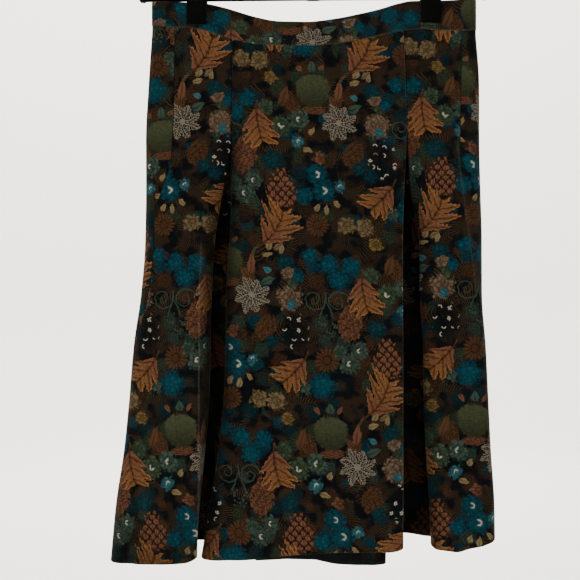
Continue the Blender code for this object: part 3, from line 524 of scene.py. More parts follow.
def band_grid(left, right, front, lap=False):
    """The waistband's centre surface, from its upper edge down to the waist seam."""
    turn = BAND_TURN * (1 - np.cos(np.linspace(0, math.pi / 2, BAND_STEPS)))
    start = left + turn if left <= BAND_LEFT else np.array([left])
    end = right - turn[::-1] if right >= BAND_RIGHT else np.array([right])
    between = np.linspace(start[-1], end[0], int((end[0] - start[-1]) / BAND_STEP) + 1)[1:-1]
    xs = np.concatenate([start, between, end])
    t = row_shares(BAND_STEPS, BAND_DROP)
    side = "front" if front else "back"
    out = BAND_OUT[side + "_top"](xs) * (1 - t) + BAND_OUT[side + "_seam"](xs) * t
    if lap:
        out = out + (BAND + SEAM_GAP) * ease((LAP_START + LAP_LIFT - xs) / LAP_LIFT)
    z = TOP_Z(xs) + (SEAM_Z(xs) + SEAM_GAP - TOP_Z(xs)) * t
    x = np.broadcast_to(xs, z.shape)
    return {"x": x, "out": out, "z": z, "layer": 0 * z, "arc": arc_along(x, out)}


def placket_grid():
    """The lapped edge of the back opening, lying on the two centre halves."""
    rows, columns = PLACKET_STEPS
    xs = np.linspace(-LAP_WIDTH, PLACKET_RIGHT, columns)
    top = SEAM_Z(xs) - SEAM_GAP
    z = top + (BAND_AT["seam_z"](0) - PLACKET_DROP - top) * np.linspace(0, 1, rows)[:, None]
    x = np.broadcast_to(xs, z.shape)
    fold_x = np.where(x < 0, np.vectorize(BACK["centre_l"])(z), np.vectorize(BACK["centre_r"])(z))
    share = np.minimum(1.0, np.abs(1 - x / fold_x))
    out = np.vectorize(BACK["centre_out"])(z) + BACK_SEAM_RISE * share
    out = out + BACK_CENTRE_BOW * np.sin(math.pi * share)
    out = out + (BAND_OUT["back_seam"](x) - out) * held(x, z) + PLY + PLACKET_CLEAR
    return {"x": x, "out": out, "z": z, "layer": 0 * z, "arc": arc_along(x, 0 * z)}


# ---------------- cloth pieces
PRINT_X = -28.6      # where the print's own coordinates start, on the front
PRINT_Z = -105.6
NO_JOIN = -100.0     # "past join" on a piece that has none


def placed(name, data):
    """A new object in the scene."""
    piece = bpy.data.objects.new(name, data)
    bpy.context.scene.collection.objects.link(piece)
    return piece


def set_all(thing, **settings):
    for key, value in settings.items():
        setattr(thing, key, value)


def cloth_mesh(name, grid, front, cut):
    """A grid as a mesh, with its print coordinates and its marks for the material."""
    rows, columns = grid["x"].shape
    index = np.arange(rows * columns).reshape(rows, columns)
    corners = (index[:-1, :-1], index[1:, :-1], index[1:, 1:], index[:-1, 1:])
    faces = np.stack(corners if front else corners[::-1], -1).reshape(-1, 4)
    y = -grid["out"] if front else grid["out"]
    mesh = bpy.data.meshes.new(name)
    spots = np.stack([grid["x"], y, grid["z"]], -1).reshape(-1, 3) * MM
    mesh.from_pydata(spots.tolist(), [], faces.tolist())
    mesh.shade_smooth()

    middle = slice(columns // 2, columns // 2 + 1)
    across = grid["arc"] - grid["arc"][:, middle] + grid["x"][:, middle]
    across, down = (across if front else -across) - PRINT_X, PRINT_Z - grid["z"]
    u_shift, v_shift, tilt, lean = cut
    flat = np.stack([across + u_shift - tilt * down, down + v_shift + lean * across], -1) * MM
    loops = np.zeros(len(mesh.loops), np.int32)
    mesh.loops.foreach_get("vertex_index", loops)
    coordinates = flat.reshape(-1, 2)[loops].reshape(-1).astype(np.float32)
    mesh.uv_layers.new(name="print").data.foreach_set("uv", coordinates)

    # These marks carry painted light: the fold mark holds a painted highlight along folds, ridges and
    # the end rows, and the pleat mark holds painted shade inside pleats and where a face rolls into
    # one.
    layer = np.clip(grid["layer"], 0, 1)
    turn = np.abs(np.gradient(layer, axis=1))
    fold = grid.get("worn", 1.0) * turn / max(turn.max(), 1e-6)
    fold = np.maximum(fold, grid.get("ridge", 0.0))
    fold[[0, -1]] = SEAM_HIGHLIGHT
    marks = {"fold": fold, "pleat shade": np.maximum(layer, grid.get("turned in", 0.0)),
             "past join": grid.get("past join", np.full_like(fold, NO_JOIN)),
             "join cut": grid.get("join cut", np.zeros((rows, columns, 3)))}
    for mark, values in marks.items():
        kind, key = ("FLOAT_VECTOR", "vector") if values.ndim == 3 else ("FLOAT", "value")
        attribute = mesh.attributes.new(mark, kind, "POINT")
        attribute.data.foreach_set(key, values.reshape(-1).astype(np.float32))
    return mesh


def build_shell(node, grid, wall, finishes, cut, flat, area):
    """A thin shell that stands for a CAD node, and the cut of what shows of it.

    cut is (u shift, v shift, tilt, lean): where the panel was cut from the printed cloth, in
    mm, and how far the print's two axes turn on it.
    """
    name = f"{node}_cloth"
    piece = placed(name, cloth_mesh(name, grid, "front" in node, cut))
    for finish in finishes:
        piece.data.materials.append(finish)
    set_all(piece.modifiers.new("cloth wall", "SOLIDIFY"), thickness=wall * MM, offset=0.0,
            use_even_offset=True, use_quality_normals=True, material_offset=1)
    set_all(piece.modifiers.new("rolled edges", "BEVEL"), width=ROLLED * wall * MM, segments=2,
            limit_method="ANGLE", angle_limit=math.radians(70))
    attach(piece, "root")
    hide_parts(node)


CREASES = {          # x, z, to x, to z, half width, height
    "front_side_left": ((-175, -165, -170, -330, 5, 1.4), (-196, -330, -206, -560, 9, 1.9),
                        (-160, -420, -180, -840, 10, 1.8), (-188, -600, -222, -900, 8, 1.5)),
    "front_centre": ((-62, -190, -74, -520, 16, 1.9), (64, -180, 78, -430, 14, 1.7),
                     (10, -420, 24, -900, 20, 2.2), (-70, -560, -104, -900, 13, 2),
                     (66, -520, 54, -900, 15, 1.8), (-14, -160, -6, -250, 10, -0.8)),
    "front_side_right": ((170, -300, 196, -470, 5, 3), (150, -520, 168, -900, 9, 1.8),
                         (184, -520, 208, -860, 8, 1.5), (142, -150, 150, -240, 6, 1.1)),
    "back_side_left": ((-150, -190, -166, -430, 9, 1.7), (-176, -460, -194, -740, 11, 1.8),
                       (-168, -640, -180, -900, 8, 1.5)),
    "back_side_right": ((148, -200, 158, -420, 9, 1.8), (168, -440, 190, -760, 10, 1.7),
                        (190, -600, 206, -900, 7, 1.3)),
    "back_centre_left": ((-52, -330, -50, -640, 12, 1.7), (-28, -560, -38, -900, 9, 1.5),
                         (-64, -170, -60, -300, 8, 1)),
    "back_centre_right": ((50, -360, 44, -600, 12, 1.8), (60, -600, 72, -900, 10, 1.6),
                          (30, -200, 36, -330, 9, 1.1)),
}

left_pleat = partial(front_underlay, "knee_l", "deep_l", "centre_l", "soft_roll")
right_pleat = partial(front_underlay, "centre_r", "deep_r", "fold_r", "roll")
# path, hem, cut (u and v shift, tilt, lean), flat width and length, flat area
PANELS = {
    "front_side_left": (
        front_side_left, HEM_FRONT_LEFT, (191.9, 15.1, 0.078, 0.088), (0.160, 0.655), 0.0891),
    "front_centre": (
        front_centre, HEM_FRONT_CENTRE, (0, 0, 0.052, 0.010), (0.300, 0.645), 0.1677),
    "front_side_right": (
        front_side_right, HEM_FRONT_RIGHT, (-208.8, 16.3, -0.020, -0.010), (0.135, 0.640), 0.0760),
    "front_underlay_left": (
        left_pleat, HEM_FRONT_UNDERLAY_LEFT, (60, 140, 0.030, 0), (0.095, 0.620), 0.0423),
    "front_underlay_right": (
        right_pleat, HEM_FRONT_UNDERLAY_RIGHT, (-90, 205, -0.030, 0), (0.115, 0.620), 0.0500),
    "back_side_left": (
        partial(back_side, "l"), HEM_BACK_LEFT, (-150, 60, -0.060, -0.050), (0.160, 0.650), 0.0818),
    "back_side_right": (
        partial(back_side, "r"), HEM_BACK_RIGHT, (120, 230, 0.060, 0.050), (0.150, 0.630), 0.0756),
    "back_centre_left": (
        partial(back_centre, "l"), HEM_BACK_CENTRE[:3], (40, 120, -0.020, 0), (0.130, 0.645), 0.0719),
    "back_centre_right": (
        partial(back_centre, "r"), HEM_BACK_CENTRE[2:], (-35, 300, 0.020, 0), (0.135, 0.650), 0.0795),
    "back_underlay_left": (
        partial(back_underlay, "l"), HEM_BACK_UNDERLAY, (10, 30, 0, 0), (0.135, 0.605), 0.0537),
    "back_underlay_right": (
        partial(back_underlay, "r"), HEM_BACK_UNDERLAY, (90, 170, 0, 0), (0.115, 0.605), 0.0487),
}
# ends, cut, flat width and length, flat area
BANDS = {
    "waistband_front": ((BAND_LEFT, BAND_RIGHT), (140, 303, 0, 0), (0.405, 0.06), 0.0146),
    "waistband_back_left": ((BAND_LEFT, 0), (20, 90, 0, 0), (0.200, 0.058), 0.0070),
    "waistband_back_right": ((-LAP_WIDTH, BAND_RIGHT), (-60, 90, 0, 0), (0.218, 0.058), 0.0080),
}


HIGHLIGHTED_RIDGES = {           # where a ridge gets a painted highlight: its line, z from and to, how much
    "front_side_left": ("fold_l", -370, -900, 1.0),
    "front_side_right": ("turn_r", -250, -480, 0.7),
}
SHADED_ROLLS = {            # where a face rolls into a pleat and darkens with painted shade: lines, below z, how much
    "front_side_left": ("fold_l", "knee_l", -300, 0.85),
    "front_side_right": (None, "fold_r", -230, 0.65),
    "front_centre": (None, "centre_l", -200, 0.75),
}


def mark_painted_light(name, grid):
    """Marks where a front panel gets a painted highlight along a ridge or fold, and painted shade where
    it rolls into a pleat.
    """
    if name in HIGHLIGHTED_RIDGES:
        grid["worn"], grid["ridge"] = 0.0, worn_ridge(grid, *HIGHLIGHTED_RIDGES[name])
    elif name == "front_centre":
        grid["worn"] = ease(grid["x"] / 10)     # only the fold on its right gets the painted highlight
    if name in SHADED_ROLLS:
        grid["turned in"] = rolled_in_shade(grid, *SHADED_ROLLS[name])


def build_cloth(finishes):
    for name, (path, hem, *cutting) in PANELS.items():
        grid = panel_grid(path, hem, name.startswith("front"), CREASES.get(name, ()))
        if name in JOIN_ROWS:
            join_panel(grid, JOIN_ROWS[name], -1 if name.endswith("left") else 1)
        mark_painted_light(name, grid)
        build_shell(name, grid, SHELL, finishes, *cutting)
    for name, (ends, *cutting) in BANDS.items():
        grid = band_grid(*ends, name == "waistband_front", lap=ends[0] == -LAP_WIDTH)
        build_shell(name, grid, BAND_SHELL, finishes, *cutting)
    build_shell("back_placket", placket_grid(), SHELL, finishes,
                (40, 120, 0, 0), (0.020, 0.190), 0.0038)


# ---------------- numbers and colours over a surface
class Field:
    """A number, vector or colour over a surface: an output in a material's node tree."""

    def __init__(self, socket):
        self.socket = socket
        self.tree = socket.id_data

    def __add__(self, other):
        return maths("ADD", self, other)

    def __sub__(self, other):
        return maths("SUBTRACT", self, other)

    def __rsub__(self, other):
        return maths("SUBTRACT", other, self)

    def __mul__(self, other):
        return maths("MULTIPLY", self, other)


def plug_in(value, plug):
    """Links a field, or writes a plain number, vector or colour."""
    if isinstance(value, Field):
        value.tree.links.new(value.socket, plug)
    else:
        plug.default_value = (*value, 1.0) if plug.type == "RGBA" else value


def new_node(kind, values, output=0, **settings):
    """A node in the tree of its first field, with its inputs in order; an output as a field."""
    tree = next(value.tree for value in values if isinstance(value, Field))
    node = tree.nodes.new("ShaderNode" + kind)
    set_all(node, **settings)
    for value, plug in zip(values, node.inputs):
        plug_in(value, plug)
    return Field(node.outputs[output])


def fill(plugs, values):
    """Plugs values in by the names of their inputs."""
    for name, value in values.items():
        plug_in(value, plugs[name])


def maths(operation, *values, clamp=False):
    return new_node("Math", values, operation=operation, use_clamp=clamp)


absolute = partial(maths, "ABSOLUTE")
sine = partial(maths, "SINE")
cosine = partial(maths, "COSINE")
root = partial(maths, "SQRT")
power = partial(maths, "POWER")
lower = partial(maths, "MINIMUM")
higher = partial(maths, "MAXIMUM")
fraction = partial(maths, "FRACT")
is_less = partial(maths, "LESS_THAN")
fused = partial(maths, "MULTIPLY_ADD")   # the first times the second, plus the third
saw = partial(maths, "PINGPONG")         # rises from 0 to the second and falls back, over and over


def wrapped(a, half):
    """a brought into -half to +half by whole periods."""
    return maths("WRAP", a, half, -half)


def smooth(a, low, high):
    """0 below low, 1 above high, and a soft step between; falling where low is above high."""
    return new_node("MapRange", (a, low, high), interpolation_type="SMOOTHSTEP")


def combine(x, y, z=0.0):
    return new_node("CombineXYZ", (x, y, z))


def separate(spot):
    node = new_node("SeparateXYZ", (spot,)).socket.node
    return [Field(out) for out in node.outputs]


def scaled(a, tone):
    """A colour or a vector, times a number."""
    return new_node("VectorMath", (a, (0, 0, 0), (0, 0, 0), tone), operation="SCALE")


def mixed(share, below, above, kind="RGBA"):
    """below where share is 0 and above where it is 1."""
    first, output = {"FLOAT": (2, 0), "VECTOR": (4, 1), "RGBA": (6, 2)}[kind]
    made = new_node("Mix", (share,), output, data_type=kind)
    for value, plug in zip((below, above), made.socket.node.inputs[first:]):
        plug_in(value, plug)
    return made


def noise(spot, scale, detail=2.0, roughness=0.5, output="Fac"):
    """Soft noise, whose scale counts its waves in a metre."""
    made = new_node("TexNoise", (spot,), output)
    fill(made.socket.node.inputs, {"Scale": scale, "Detail": detail, "Roughness": roughness})
    return made


def cells(spot, scale, output="Distance", feature="F1", randomness=1.0):
    """Scattered cells; their scale counts them along a metre."""
    made = new_node("TexVoronoi", (spot,), output, feature=feature)
    fill(made.socket.node.inputs, {"Scale": scale, "Randomness": randomness})
    return made


def scattered(spot, scale, randomness=1.0):
    """The offset from the nearest of many scattered places, and three random numbers of its own."""
    tint = cells(spot, scale, "Color", randomness=randomness)
    place = Field(tint.socket.node.outputs["Position"])
    x, y, _ = separate(new_node("VectorMath", (spot, place), operation="SUBTRACT"))
    return x, y, separate(tint)


def point_value(tree, name, output="Fac"):
    """A number or a vector that the mesh holds at its points."""
    node = tree.nodes.new("ShaderNodeAttribute")
    node.attribute_name = name
    return Field(node.outputs[output])


# ---------------- the print
# An ordinary half-drop repeat of leaves and flowers on a near-black ground.  Places and
# sizes are in mm on the cloth, u across and v down, and a formula draws each motif.
REPEAT_U = 231.0
REPEAT_V = 410.5
WAVER = 6.5          # width of the band in which the drawing's outlines wander
PETAL_RINGS = 2.4    # rings of petals in a ruffled flower

DYES = {
    # sRGB of 255; the first three are laid on softly, and the rest in ruffled petals
    "teal": (12, 55, 67), "deep_teal": (12, 42, 48), "sky": (40, 80, 88),
    "sage": (46, 60, 52), "moss": (44, 56, 42), "rose": (84, 70, 49), "gold": (84, 68, 38),
    "beige": (84, 69, 55), "rust": (83, 54, 40), "umber": (44, 33, 23), "cream": (102, 88, 62),
    "ground": (6, 8, 11), "needle": (52, 38, 25), "olive": (56, 60, 42),
    "orange": (108, 70, 51), "amber": (119, 80, 48), "brown": (66, 44, 29),
    "lace": (112, 104, 92), "white": (152, 148, 136),
}
SOFT_DYES = 3

FLOWERS = (          # u, v, radius, dye, white centre
    (-62, 64, 10.5, "rose", 0), (-41, 67, 11.5, "rose", 0), (-29, 87, 8.0, "gold", 0),
    (93, 107, 11.0, "deep_teal", 0), (96, 119, 8.5, "beige", 0), (108, 125, 8.0, "teal", 0),
    (97, 149, 15.5, "beige", 0), (98, 155, 9.0, "sky", 0),
    (21, 207, 13.5, "teal", 1), (29, 227, 15.0, "teal", 1), (5, 233, 11.0, "teal", 0),
    (48, 222, 7.5, "sky", 1),
    (30, 315, 12.0, "teal", 0), (57, 318, 11.5, "teal", 0), (41, 334, 13.0, "teal", 0),
    (8, 304, 10.5, "teal", 0), (-32, 188, 12.0, "deep_teal", 0), (15, 459, 16.5, "teal", 0),
    (-5, 462, 7.0, "sage", 0), (-55, 213, 10.5, "sage", 1), (-67, 228, 12.0, "sage", 1),
    (-77, 215, 8.5, "sage", 0), (-18, 147, 13.0, "moss", 1), (3, 141, 12.5, "sage", 1),
    (1, 167, 8.5, "sky", 1), (27, 188, 8.0, "rust", 0), (37, 191, 9.0, "umber", 0),
    (73, 201, 9.0, "deep_teal", 0), (-14, 336, 7.0, "moss", 0), (88, 294, 7.0, "gold", 0),
    (-11, 262, 9.0, "deep_teal", 0), (80, 330, 10.0, "moss", 0),
)
PETALS = (           # u, v, angle, half length, half width, dye
    (76, 84, 65, 9, 3.8, "cream"), (87, 87, 35, 8, 3.2, "rose"), (73, 97, 15, 7, 3.4, "cream"),
    (90, 90, 80, 7, 3.0, "cream"), (7, 79, -50, 6, 3.2, "rust"), (34, 78, 50, 6, 2.8, "rust"),
    (20, 247, 60, 6, 3.4, "cream"), (31, 250, 85, 7, 3.4, "cream"), (43, 243, 130, 6, 3.2, "cream"),
    (18, 155, 60, 6, 3.2, "cream"), (12, 178, -20, 7, 3.4, "cream"), (72, 128, 20, 10, 5.0, "sage"),
    (71, 115, 150, 6, 3.2, "sky"), (22, 76, 90, 7, 5.0, "sage"), (-13, 111, 70, 15, 5.5, "brown"),
    (53, 106, 80, 15, 5.0, "rust"), (44, 118, 120, 9, 4.0, "brown"), (58, 92, 60, 12, 1.3, "moss"),
)
SHAGGY = (           # u, v, angle, half length, half width, dye
    (-64, 181, 80, 23, 15, "rust"), (67, 184, 70, 17, 12, "brown"), (-6, 118, -60, 17, 9, "brown"),
    (48, 123, 60, 14, 8, "brown"), (23, 129, 0, 15, 6, "rust"), (92, 262, 80, 22, 9, "umber"),
)
LEAVES = (           # foot u, foot v, angle, length, half width, lobes, depth, bend
    (68, 84, 56, 47, 29, 3.5, 0.70, 0.09),
    (-47, 126, -82, 41, 24, 3.0, 0.60, 0.05),
    (111, 222, -136, 39, 23, 3.0, 0.64, -0.06),
)
THISTLES = ((-51, 391, 12.0), (22, 429, 15.0), (19, 268, 14.0))       # u, v, radius
SCROLLS = ((10, 357, 15.0, 1), (38, 360, 15.0, -1))                   # u, v, radius, hand
POD = (22, 106, 0, 20.5, 20.5)       # u, v, angle, half length, half width
SPRIG = (25, 389, 0, 15.0, 14.0)
STEM = (24, 364, 0, 1.0, 17.0)
BITS = (101, 190, 0, 18.0, 25.0)
CONE = (-22, 222, 90)                # u, v, angle
CONE_SIZES = (50, 35.0, 11.5, 10.0)  # length, width, and its scales' pitch along and across
LACE = (51, 145)
LACE_ARM = (22.5, 4.2)               # length and half width


def dye(name):
    """A dye as the linear colour that a shader takes."""
    return tuple(((level / 255 + 0.055) / 1.055) ** 2.4 for level in DYES[name])


def dye_ramp(tag, names):
    """The dye whose number tag holds, counted from 0 in names."""
    made = new_node("ValToRGB", (fused(tag, 1 / len(names), 0.25 / len(names)),))
    ramp = made.socket.node.color_ramp
    ramp.interpolation = "CONSTANT"
    for k, name in enumerate(names):
        stop = ramp.elements[k] if k < 2 else ramp.elements.new(k / len(names))
        set_all(stop, position=k / len(names), color=(*dye(name), 1.0))
    return made


def dyes_in(rows):
    """The dyes that a table names."""
    return [name for name in DYES if any(name in row for row in rows)]


def motif_offset(at, u, v):
    """How far each point lies from the nearest copy of a place in the half-drop repeat."""
    du = at.u - u
    near_u = wrapped(du, REPEAT_U / 4)
    return near_u, wrapped(fused(du - near_u, -REPEAT_V / REPEAT_U, at.v - v), REPEAT_V / 2)


def turned_offset(at, u, v, angle, along=1.0, across=1.0):
    """A motif's own axes: x along its angle, in degrees anticlockwise from +u on the face."""
    near_u, near_v = motif_offset(at, u, v)
    c, s = math.cos(math.radians(angle)), math.sin(math.radians(angle))
    x = fused(near_u, c / along, near_v * (-s / along))
    return x, fused(near_u, s / across, near_v * (c / across))


def round_offset(at, u, v, radius):
    """A round motif's own axes, on which its rim is at 1."""
    return [axis * (1 / radius) for axis in motif_offset(at, u, v)]


def polar(x, y):
    return root(fused(x, x, y * y)), maths("ARCTAN2", y, x)


def nearest_of(candidates):
    """The scaled offset and tag of the nearest of several motifs, each (x, y, tag)."""
    (x, y, tag), *others = candidates
    best, chosen = fused(x, x, y * y), combine(x, y, tag)
    for x, y, tag in others:
        reach = fused(x, x, y * y)
        chosen = mixed(is_less(reach, best), chosen, combine(x, y, tag), "VECTOR")
        best = lower(reach, best)
    return separate(chosen)


def nearest_turned(at, rows):
    """The nearest turned motif of a table, as x, y and its dye."""
    names = dyes_in(rows)
    x, y, tag = nearest_of((*turned_offset(at, *row[:5]), names.index(row[5])) for row in rows)
    return x, y, dye_ramp(tag, names)


def scallops(angle, turn):
    """From 0 to 1 and back, five times round a flower."""
    return absolute(cosine(fused(angle, 2.5, turn)))


def ruffled(reach, angle, turn, cloud):
    """Rings of scalloped petals: dark at each ring's root and light at its rim."""
    ring = fused(scallops(angle, turn), 0.45, fused(cloud, 1.8, reach * PETAL_RINGS))
    return smooth(fraction(ring), -0.2, 0.9)


# A drawing takes the cloth's fields (spot, u, v, grain and cloud), and yields its layers as
# (share, colour).
def draw_flowers(at):
    """Round flowers: soft watery ones in the soft dyes, and ruffled ones in the rest."""
    names = dyes_in(FLOWERS)
    x, y, tag = nearest_of((*round_offset(at, *row[:3]), names.index(row[3]) + 0.5 * row[4])
                           for row in FLOWERS)
    kind = maths("FLOOR", tag)
    reach, angle = polar(x, y)
    bud = cells(combine(at.u, at.v), 0.17, feature="DISTANCE_TO_EDGE")
    petal = smooth(bud, 0.0, 0.24)
    ragged = fused(bud, -0.7, fused(scallops(angle, kind), -0.12, reach))
    inside = smooth(ragged + fused(at.cloud, -0.7, 0.35), 0.94, 0.58)
    speck = smooth(at.grain, 0.54, 0.68) * smooth(at.cloud, 0.40, 0.62)
    soft = fused(smooth(reach, 1.05, 0.15), 0.35, 0.35) + speck * 0.9 + fused(at.cloud, 0.9, -0.2)
    soft = soft * fused(petal, 0.45, 0.60)
    folded = fused(ruffled(reach, angle, kind * 1.7, at.cloud), 0.50, fused(petal, 0.50, 0.15))
    folded = folded * fused(smooth(reach, 0.1, 0.9), 0.35, 0.85)
    tone = mixed(is_less(kind, SOFT_DYES - 0.5), folded, soft, "FLOAT") * fused(at.grain, 1.3, 0.38)
    opening = smooth(cosine(angle + kind), -0.5, 0.0)
    curl = smooth(absolute(reach - 0.20), 0.12, 0.05) * opening * smooth(at.grain, 0.34, 0.46)
    colour = scaled(dye_ramp(kind, names), tone)
    yield inside, mixed(curl * (tag - kind) * 1.8, colour, dye("white"))


def draw_dim_flowers(at):
    """Dim ruffled flowers that fill the ground between the main motifs."""
    x, y, (share, turn, dark) = scattered(at.spot, 40.0, 0.8)
    reach, angle = polar(x * 95.0, y * 95.0)
    blurred = fused(scallops(angle, turn * 6.0), -0.25, reach) + fused(at.cloud, -0.8, 0.4)
    inside = smooth(blurred, 1.0, 0.50) * smooth(dark, 0.25, 0.40)
    names = ("deep_teal", "moss", "umber", "teal", "brown", "sage")
    tone = fused(ruffled(reach, angle, turn * 9.0, at.cloud), 0.60, 0.12)
    colour = dye_ramp(share * (len(names) - 0.3), names)
    yield inside * 0.8, scaled(colour, tone * fused(at.grain, 1.8, 0.1))


def draw_petals(at):
    """Small single petals and buds with a dark mid line."""
    x, y, colour = nearest_turned(at, PETALS)
    reach = fused(x, x, absolute(y) * fused(x, 0.5, 1.0))
    line = smooth(absolute(y), 0.03, 0.30)
    tone = fused(line, 0.55, 0.35) + fused(x, 0.2, at.grain * 0.4)
    yield smooth(reach, 1.0, 0.78), scaled(colour, tone)


def draw_shaggy(at):
    """Feathery patches of barbs that slant off a mid line."""
    x, y, colour = nearest_turned(at, SHAGGY)
    side = absolute(y)
    barb = absolute(sine(fused(x, 13.0, fused(side, -7.0, at.cloud * 9.0))))
    tuft = absolute(sine(fused(x, 4.0, fused(side, 6.0, at.cloud * 4.0))))
    ragged = fused(barb, -0.22, fused(tuft, -0.35, fused(x, x, y * y)))
    tone = fused(barb, 0.75, 0.15) * fused(tuft, 0.6, 0.55) * fused(at.grain, 1.3, 0.45)
    yield smooth(ragged + fused(at.cloud, -0.9, 0.45), 0.62, 0.40), scaled(colour, tone)


def draw_leaves(at):
    """Leaves with toothed lobes that slant forward off a mid rib, with dark veins."""
    for *foot, length, width, lobes, depth, bend in LEAVES:
        along, y = turned_offset(at, *foot, length, length)
        side = absolute(fused(along * (1.0 - along), -4 * bend, y))
        spring = fused(side, -0.8, along)
        lobe = saw(spring * lobes, 0.5) * 2.0
        swell = sine(maths("MULTIPLY_ADD", spring, 0.84, 0.12, clamp=True) * math.pi)
        teeth = saw(fused(side, 8.0, lobe * 0.7), 0.5)
        cut = fused(power(1.0 - lobe, 1.6), -depth, fused(teeth, 0.30, 0.90))
        edge = fused(power(swell, 0.6) * cut, width / length, fused(at.cloud, 0.10, -0.05))
        ends = smooth(spring, -0.03, 0.01) * smooth(spring, 1.0, 0.97)
        stem = smooth(side, 0.03, 0.015) * smooth(along, -0.26, -0.20) * smooth(along, 0.1, 0.0)
        pitch = length / lobes * 0.3
        vein = smooth((1.0 - lobe) * pitch, 0.1, 1.3)
        crease = smooth(lobe * pitch, 0.0, 1.4)
        rim = smooth(edge - side, 0.10, 0.01)
        tone = fused(vein, 0.34, 0.02) + fused(crease, 0.20, rim * 0.46)
        tone = tone * fused(smooth(side * length, 0.2, 2.0), 0.62, 0.38) * fused(at.cloud, 0.8, 0.6)
        warm = mixed(smooth(fused(along, 0.5, at.cloud), 0.60, 1.0), dye("orange"), dye("amber"))
        yield (higher(smooth(edge - side, -0.012, 0.02) * ends, stem),
               scaled(warm, tone * fused(at.grain, 1.8, 0.3)))


def draw_pod(at):
    """A big squarish seed pod, lit from above, mottled and with a ragged skin."""
    x, y = turned_offset(at, *POD)
    wide = absolute(x * fused(y, 0.16, 1.0))
    reach = power(power(wide, 2.3) + power(absolute(y), 2.3), 1 / 2.3)
    ribs = fused(absolute(sine(x * 10.0)), 0.06, 0.90)
    tone = ribs * fused(smooth(y, 1.2, -0.9), 0.55, 0.40)
    tone = tone * fused(at.grain, 1.5, 0.25) * fused(at.cloud, 1.2, 0.4)
    yield (smooth(fused(at.grain, -0.10, fused(at.cloud, -0.22, reach)), 0.86, 0.74),
           scaled(dye("olive"), tone))


def draw_cone(at):
    """A pointed blossom of overlapping scales, dark between them."""
    x, y = turned_offset(at, *CONE)
    length, width, pitch, spread = CONE_SIZES
    along = maths("MULTIPLY_ADD", x, 1 / length, 0.5, clamp=True)
    across = absolute(y)
    body = power(along, 0.35) * power(1.0 - along, 0.80) * width
    climb = fused(at.cloud, 0.55, x * (1 / pitch))
    near, far = (fraction(fused(across, slant, climb)) for slant in (1 / spread, -1 / spread))
    scale = lower(near, far)
    ragged = fused(scale, 8.0, fused(at.cloud, 5.0, -6.0))
    inside = smooth(body - across + ragged, -0.5, 0.5)
    tone = smooth(scale, 0.06, 0.50) * fused(smooth(absolute(near - far), 0.02, 0.20), 0.6, 0.4)
    yield (inside * (smooth(along, 0.0, 0.04) * smooth(along, 1.0, 0.96)),
           scaled(dye("rust"), fused(tone, 1.2, 0.08) * fused(at.grain, 1.0, 0.6)))


def draw_lace(at):
    """A pale lacy star of eight leafy arms, drawn in thin lines."""
    reach, angle = polar(*motif_offset(at, *LACE))
    turn = wrapped(fused(reach, 0.016, angle), math.pi / 8)
    aside, along = absolute(reach * sine(turn)), reach * cosine(turn)
    arm, half_width = LACE_ARM
    length = fused(cosine(angle * 4.0), 1.5, fused(cosine(angle * 3.0), 1.5, arm))
    share = maths("DIVIDE", along, length, clamp=True)
    width = fused(sine(power(share, 1.3) * math.pi), half_width, fused(saw(along, 1.5), 1.3, 0.1))
    inside = smooth(width - aside, -0.3, 0.4) * smooth(share, 1.0, 0.97)
    outline = smooth(absolute(width - aside - 0.6), 0.8, 0.25)
    vein = smooth(absolute(sine(fused(aside, -1.1, along * 1.05))), 0.62, 0.30)
    vein = vein * smooth(share, 0.25, 0.40)
    thread = higher(higher(outline, vein), smooth(aside, 0.8, 0.35))
    yield inside * 0.7, dye("ground")
    yield inside * thread * 0.9, dye("lace")


def draw_scrolls(at):
    """Thin grey-green spirals on a stem, with a dotted sprig under them."""
    x, y = turned_offset(at, *STEM)
    side = absolute(absolute(x) - smooth(y, -0.6, 1.0) * 8.0)
    yield smooth(side, 1.2, 0.5) * smooth(absolute(y), 1.0, 0.9) * 0.8, dye("sage")
    for u, v, size, hand in SCROLLS:
        reach, angle = polar(*motif_offset(at, u, v))
        turn = fused(angle, hand / (2 * math.pi), power(reach, 0.8) * 0.24)
        line = smooth(absolute(wrapped(turn, 0.5)), 0.13, 0.05) * smooth(reach, size, size - 2)
        yield line * 0.8, dye("sage")
    x, y = turned_offset(at, *SPRIG)
    dots = smooth(cells(at.spot, 240.0), 0.40, 0.26)
    yield smooth(fused(x, x, y * y), 1.0, 0.6) * dots, dye("sage")


def draw_thistles(at):
    """Brown seed heads of fine rays."""
    x, y, _ = nearest_of((*round_offset(at, *row), 0.0) for row in THISTLES)
    reach, angle = polar(x, y)
    ray = absolute(sine(fused(angle, 8.0, at.grain * 4.0)))
    ring = smooth(absolute(reach - 0.35), 0.02, 0.12)
    tone = fused(ray, 0.85, 0.2) * fused(ring, 0.5, 0.5)
    yield (smooth(fused(ray, -0.3, reach), 0.80, 0.60),
           scaled(dye("brown"), tone * fused(at.grain, 0.9, 0.5)))


def draw_bits(at):
    """Small white curled strokes scattered on bare ground."""
    x, y = turned_offset(at, *BITS)
    reach = fused(x, x, y * y)
    yield smooth(reach, 1.3, 0.2) * 0.8, dye("ground")
    inside = smooth(reach, 1.0, 0.80)
    x, y, (turn, share, _) = scattered(at.spot, 88.0, 0.8)
    reach, angle = polar(x * 1000, y * 1000)
    hook = smooth(absolute(reach - 2.3), 0.8, 0.35) * smooth(cosine(fused(turn, 6.3, angle)), -0.1, 0.3)
    bead = smooth(reach, 1.5, 0.8) * smooth(share, 0.75, 0.80)
    yield inside * higher(hook * smooth(share, 0.30, 0.34), bead), dye("white")


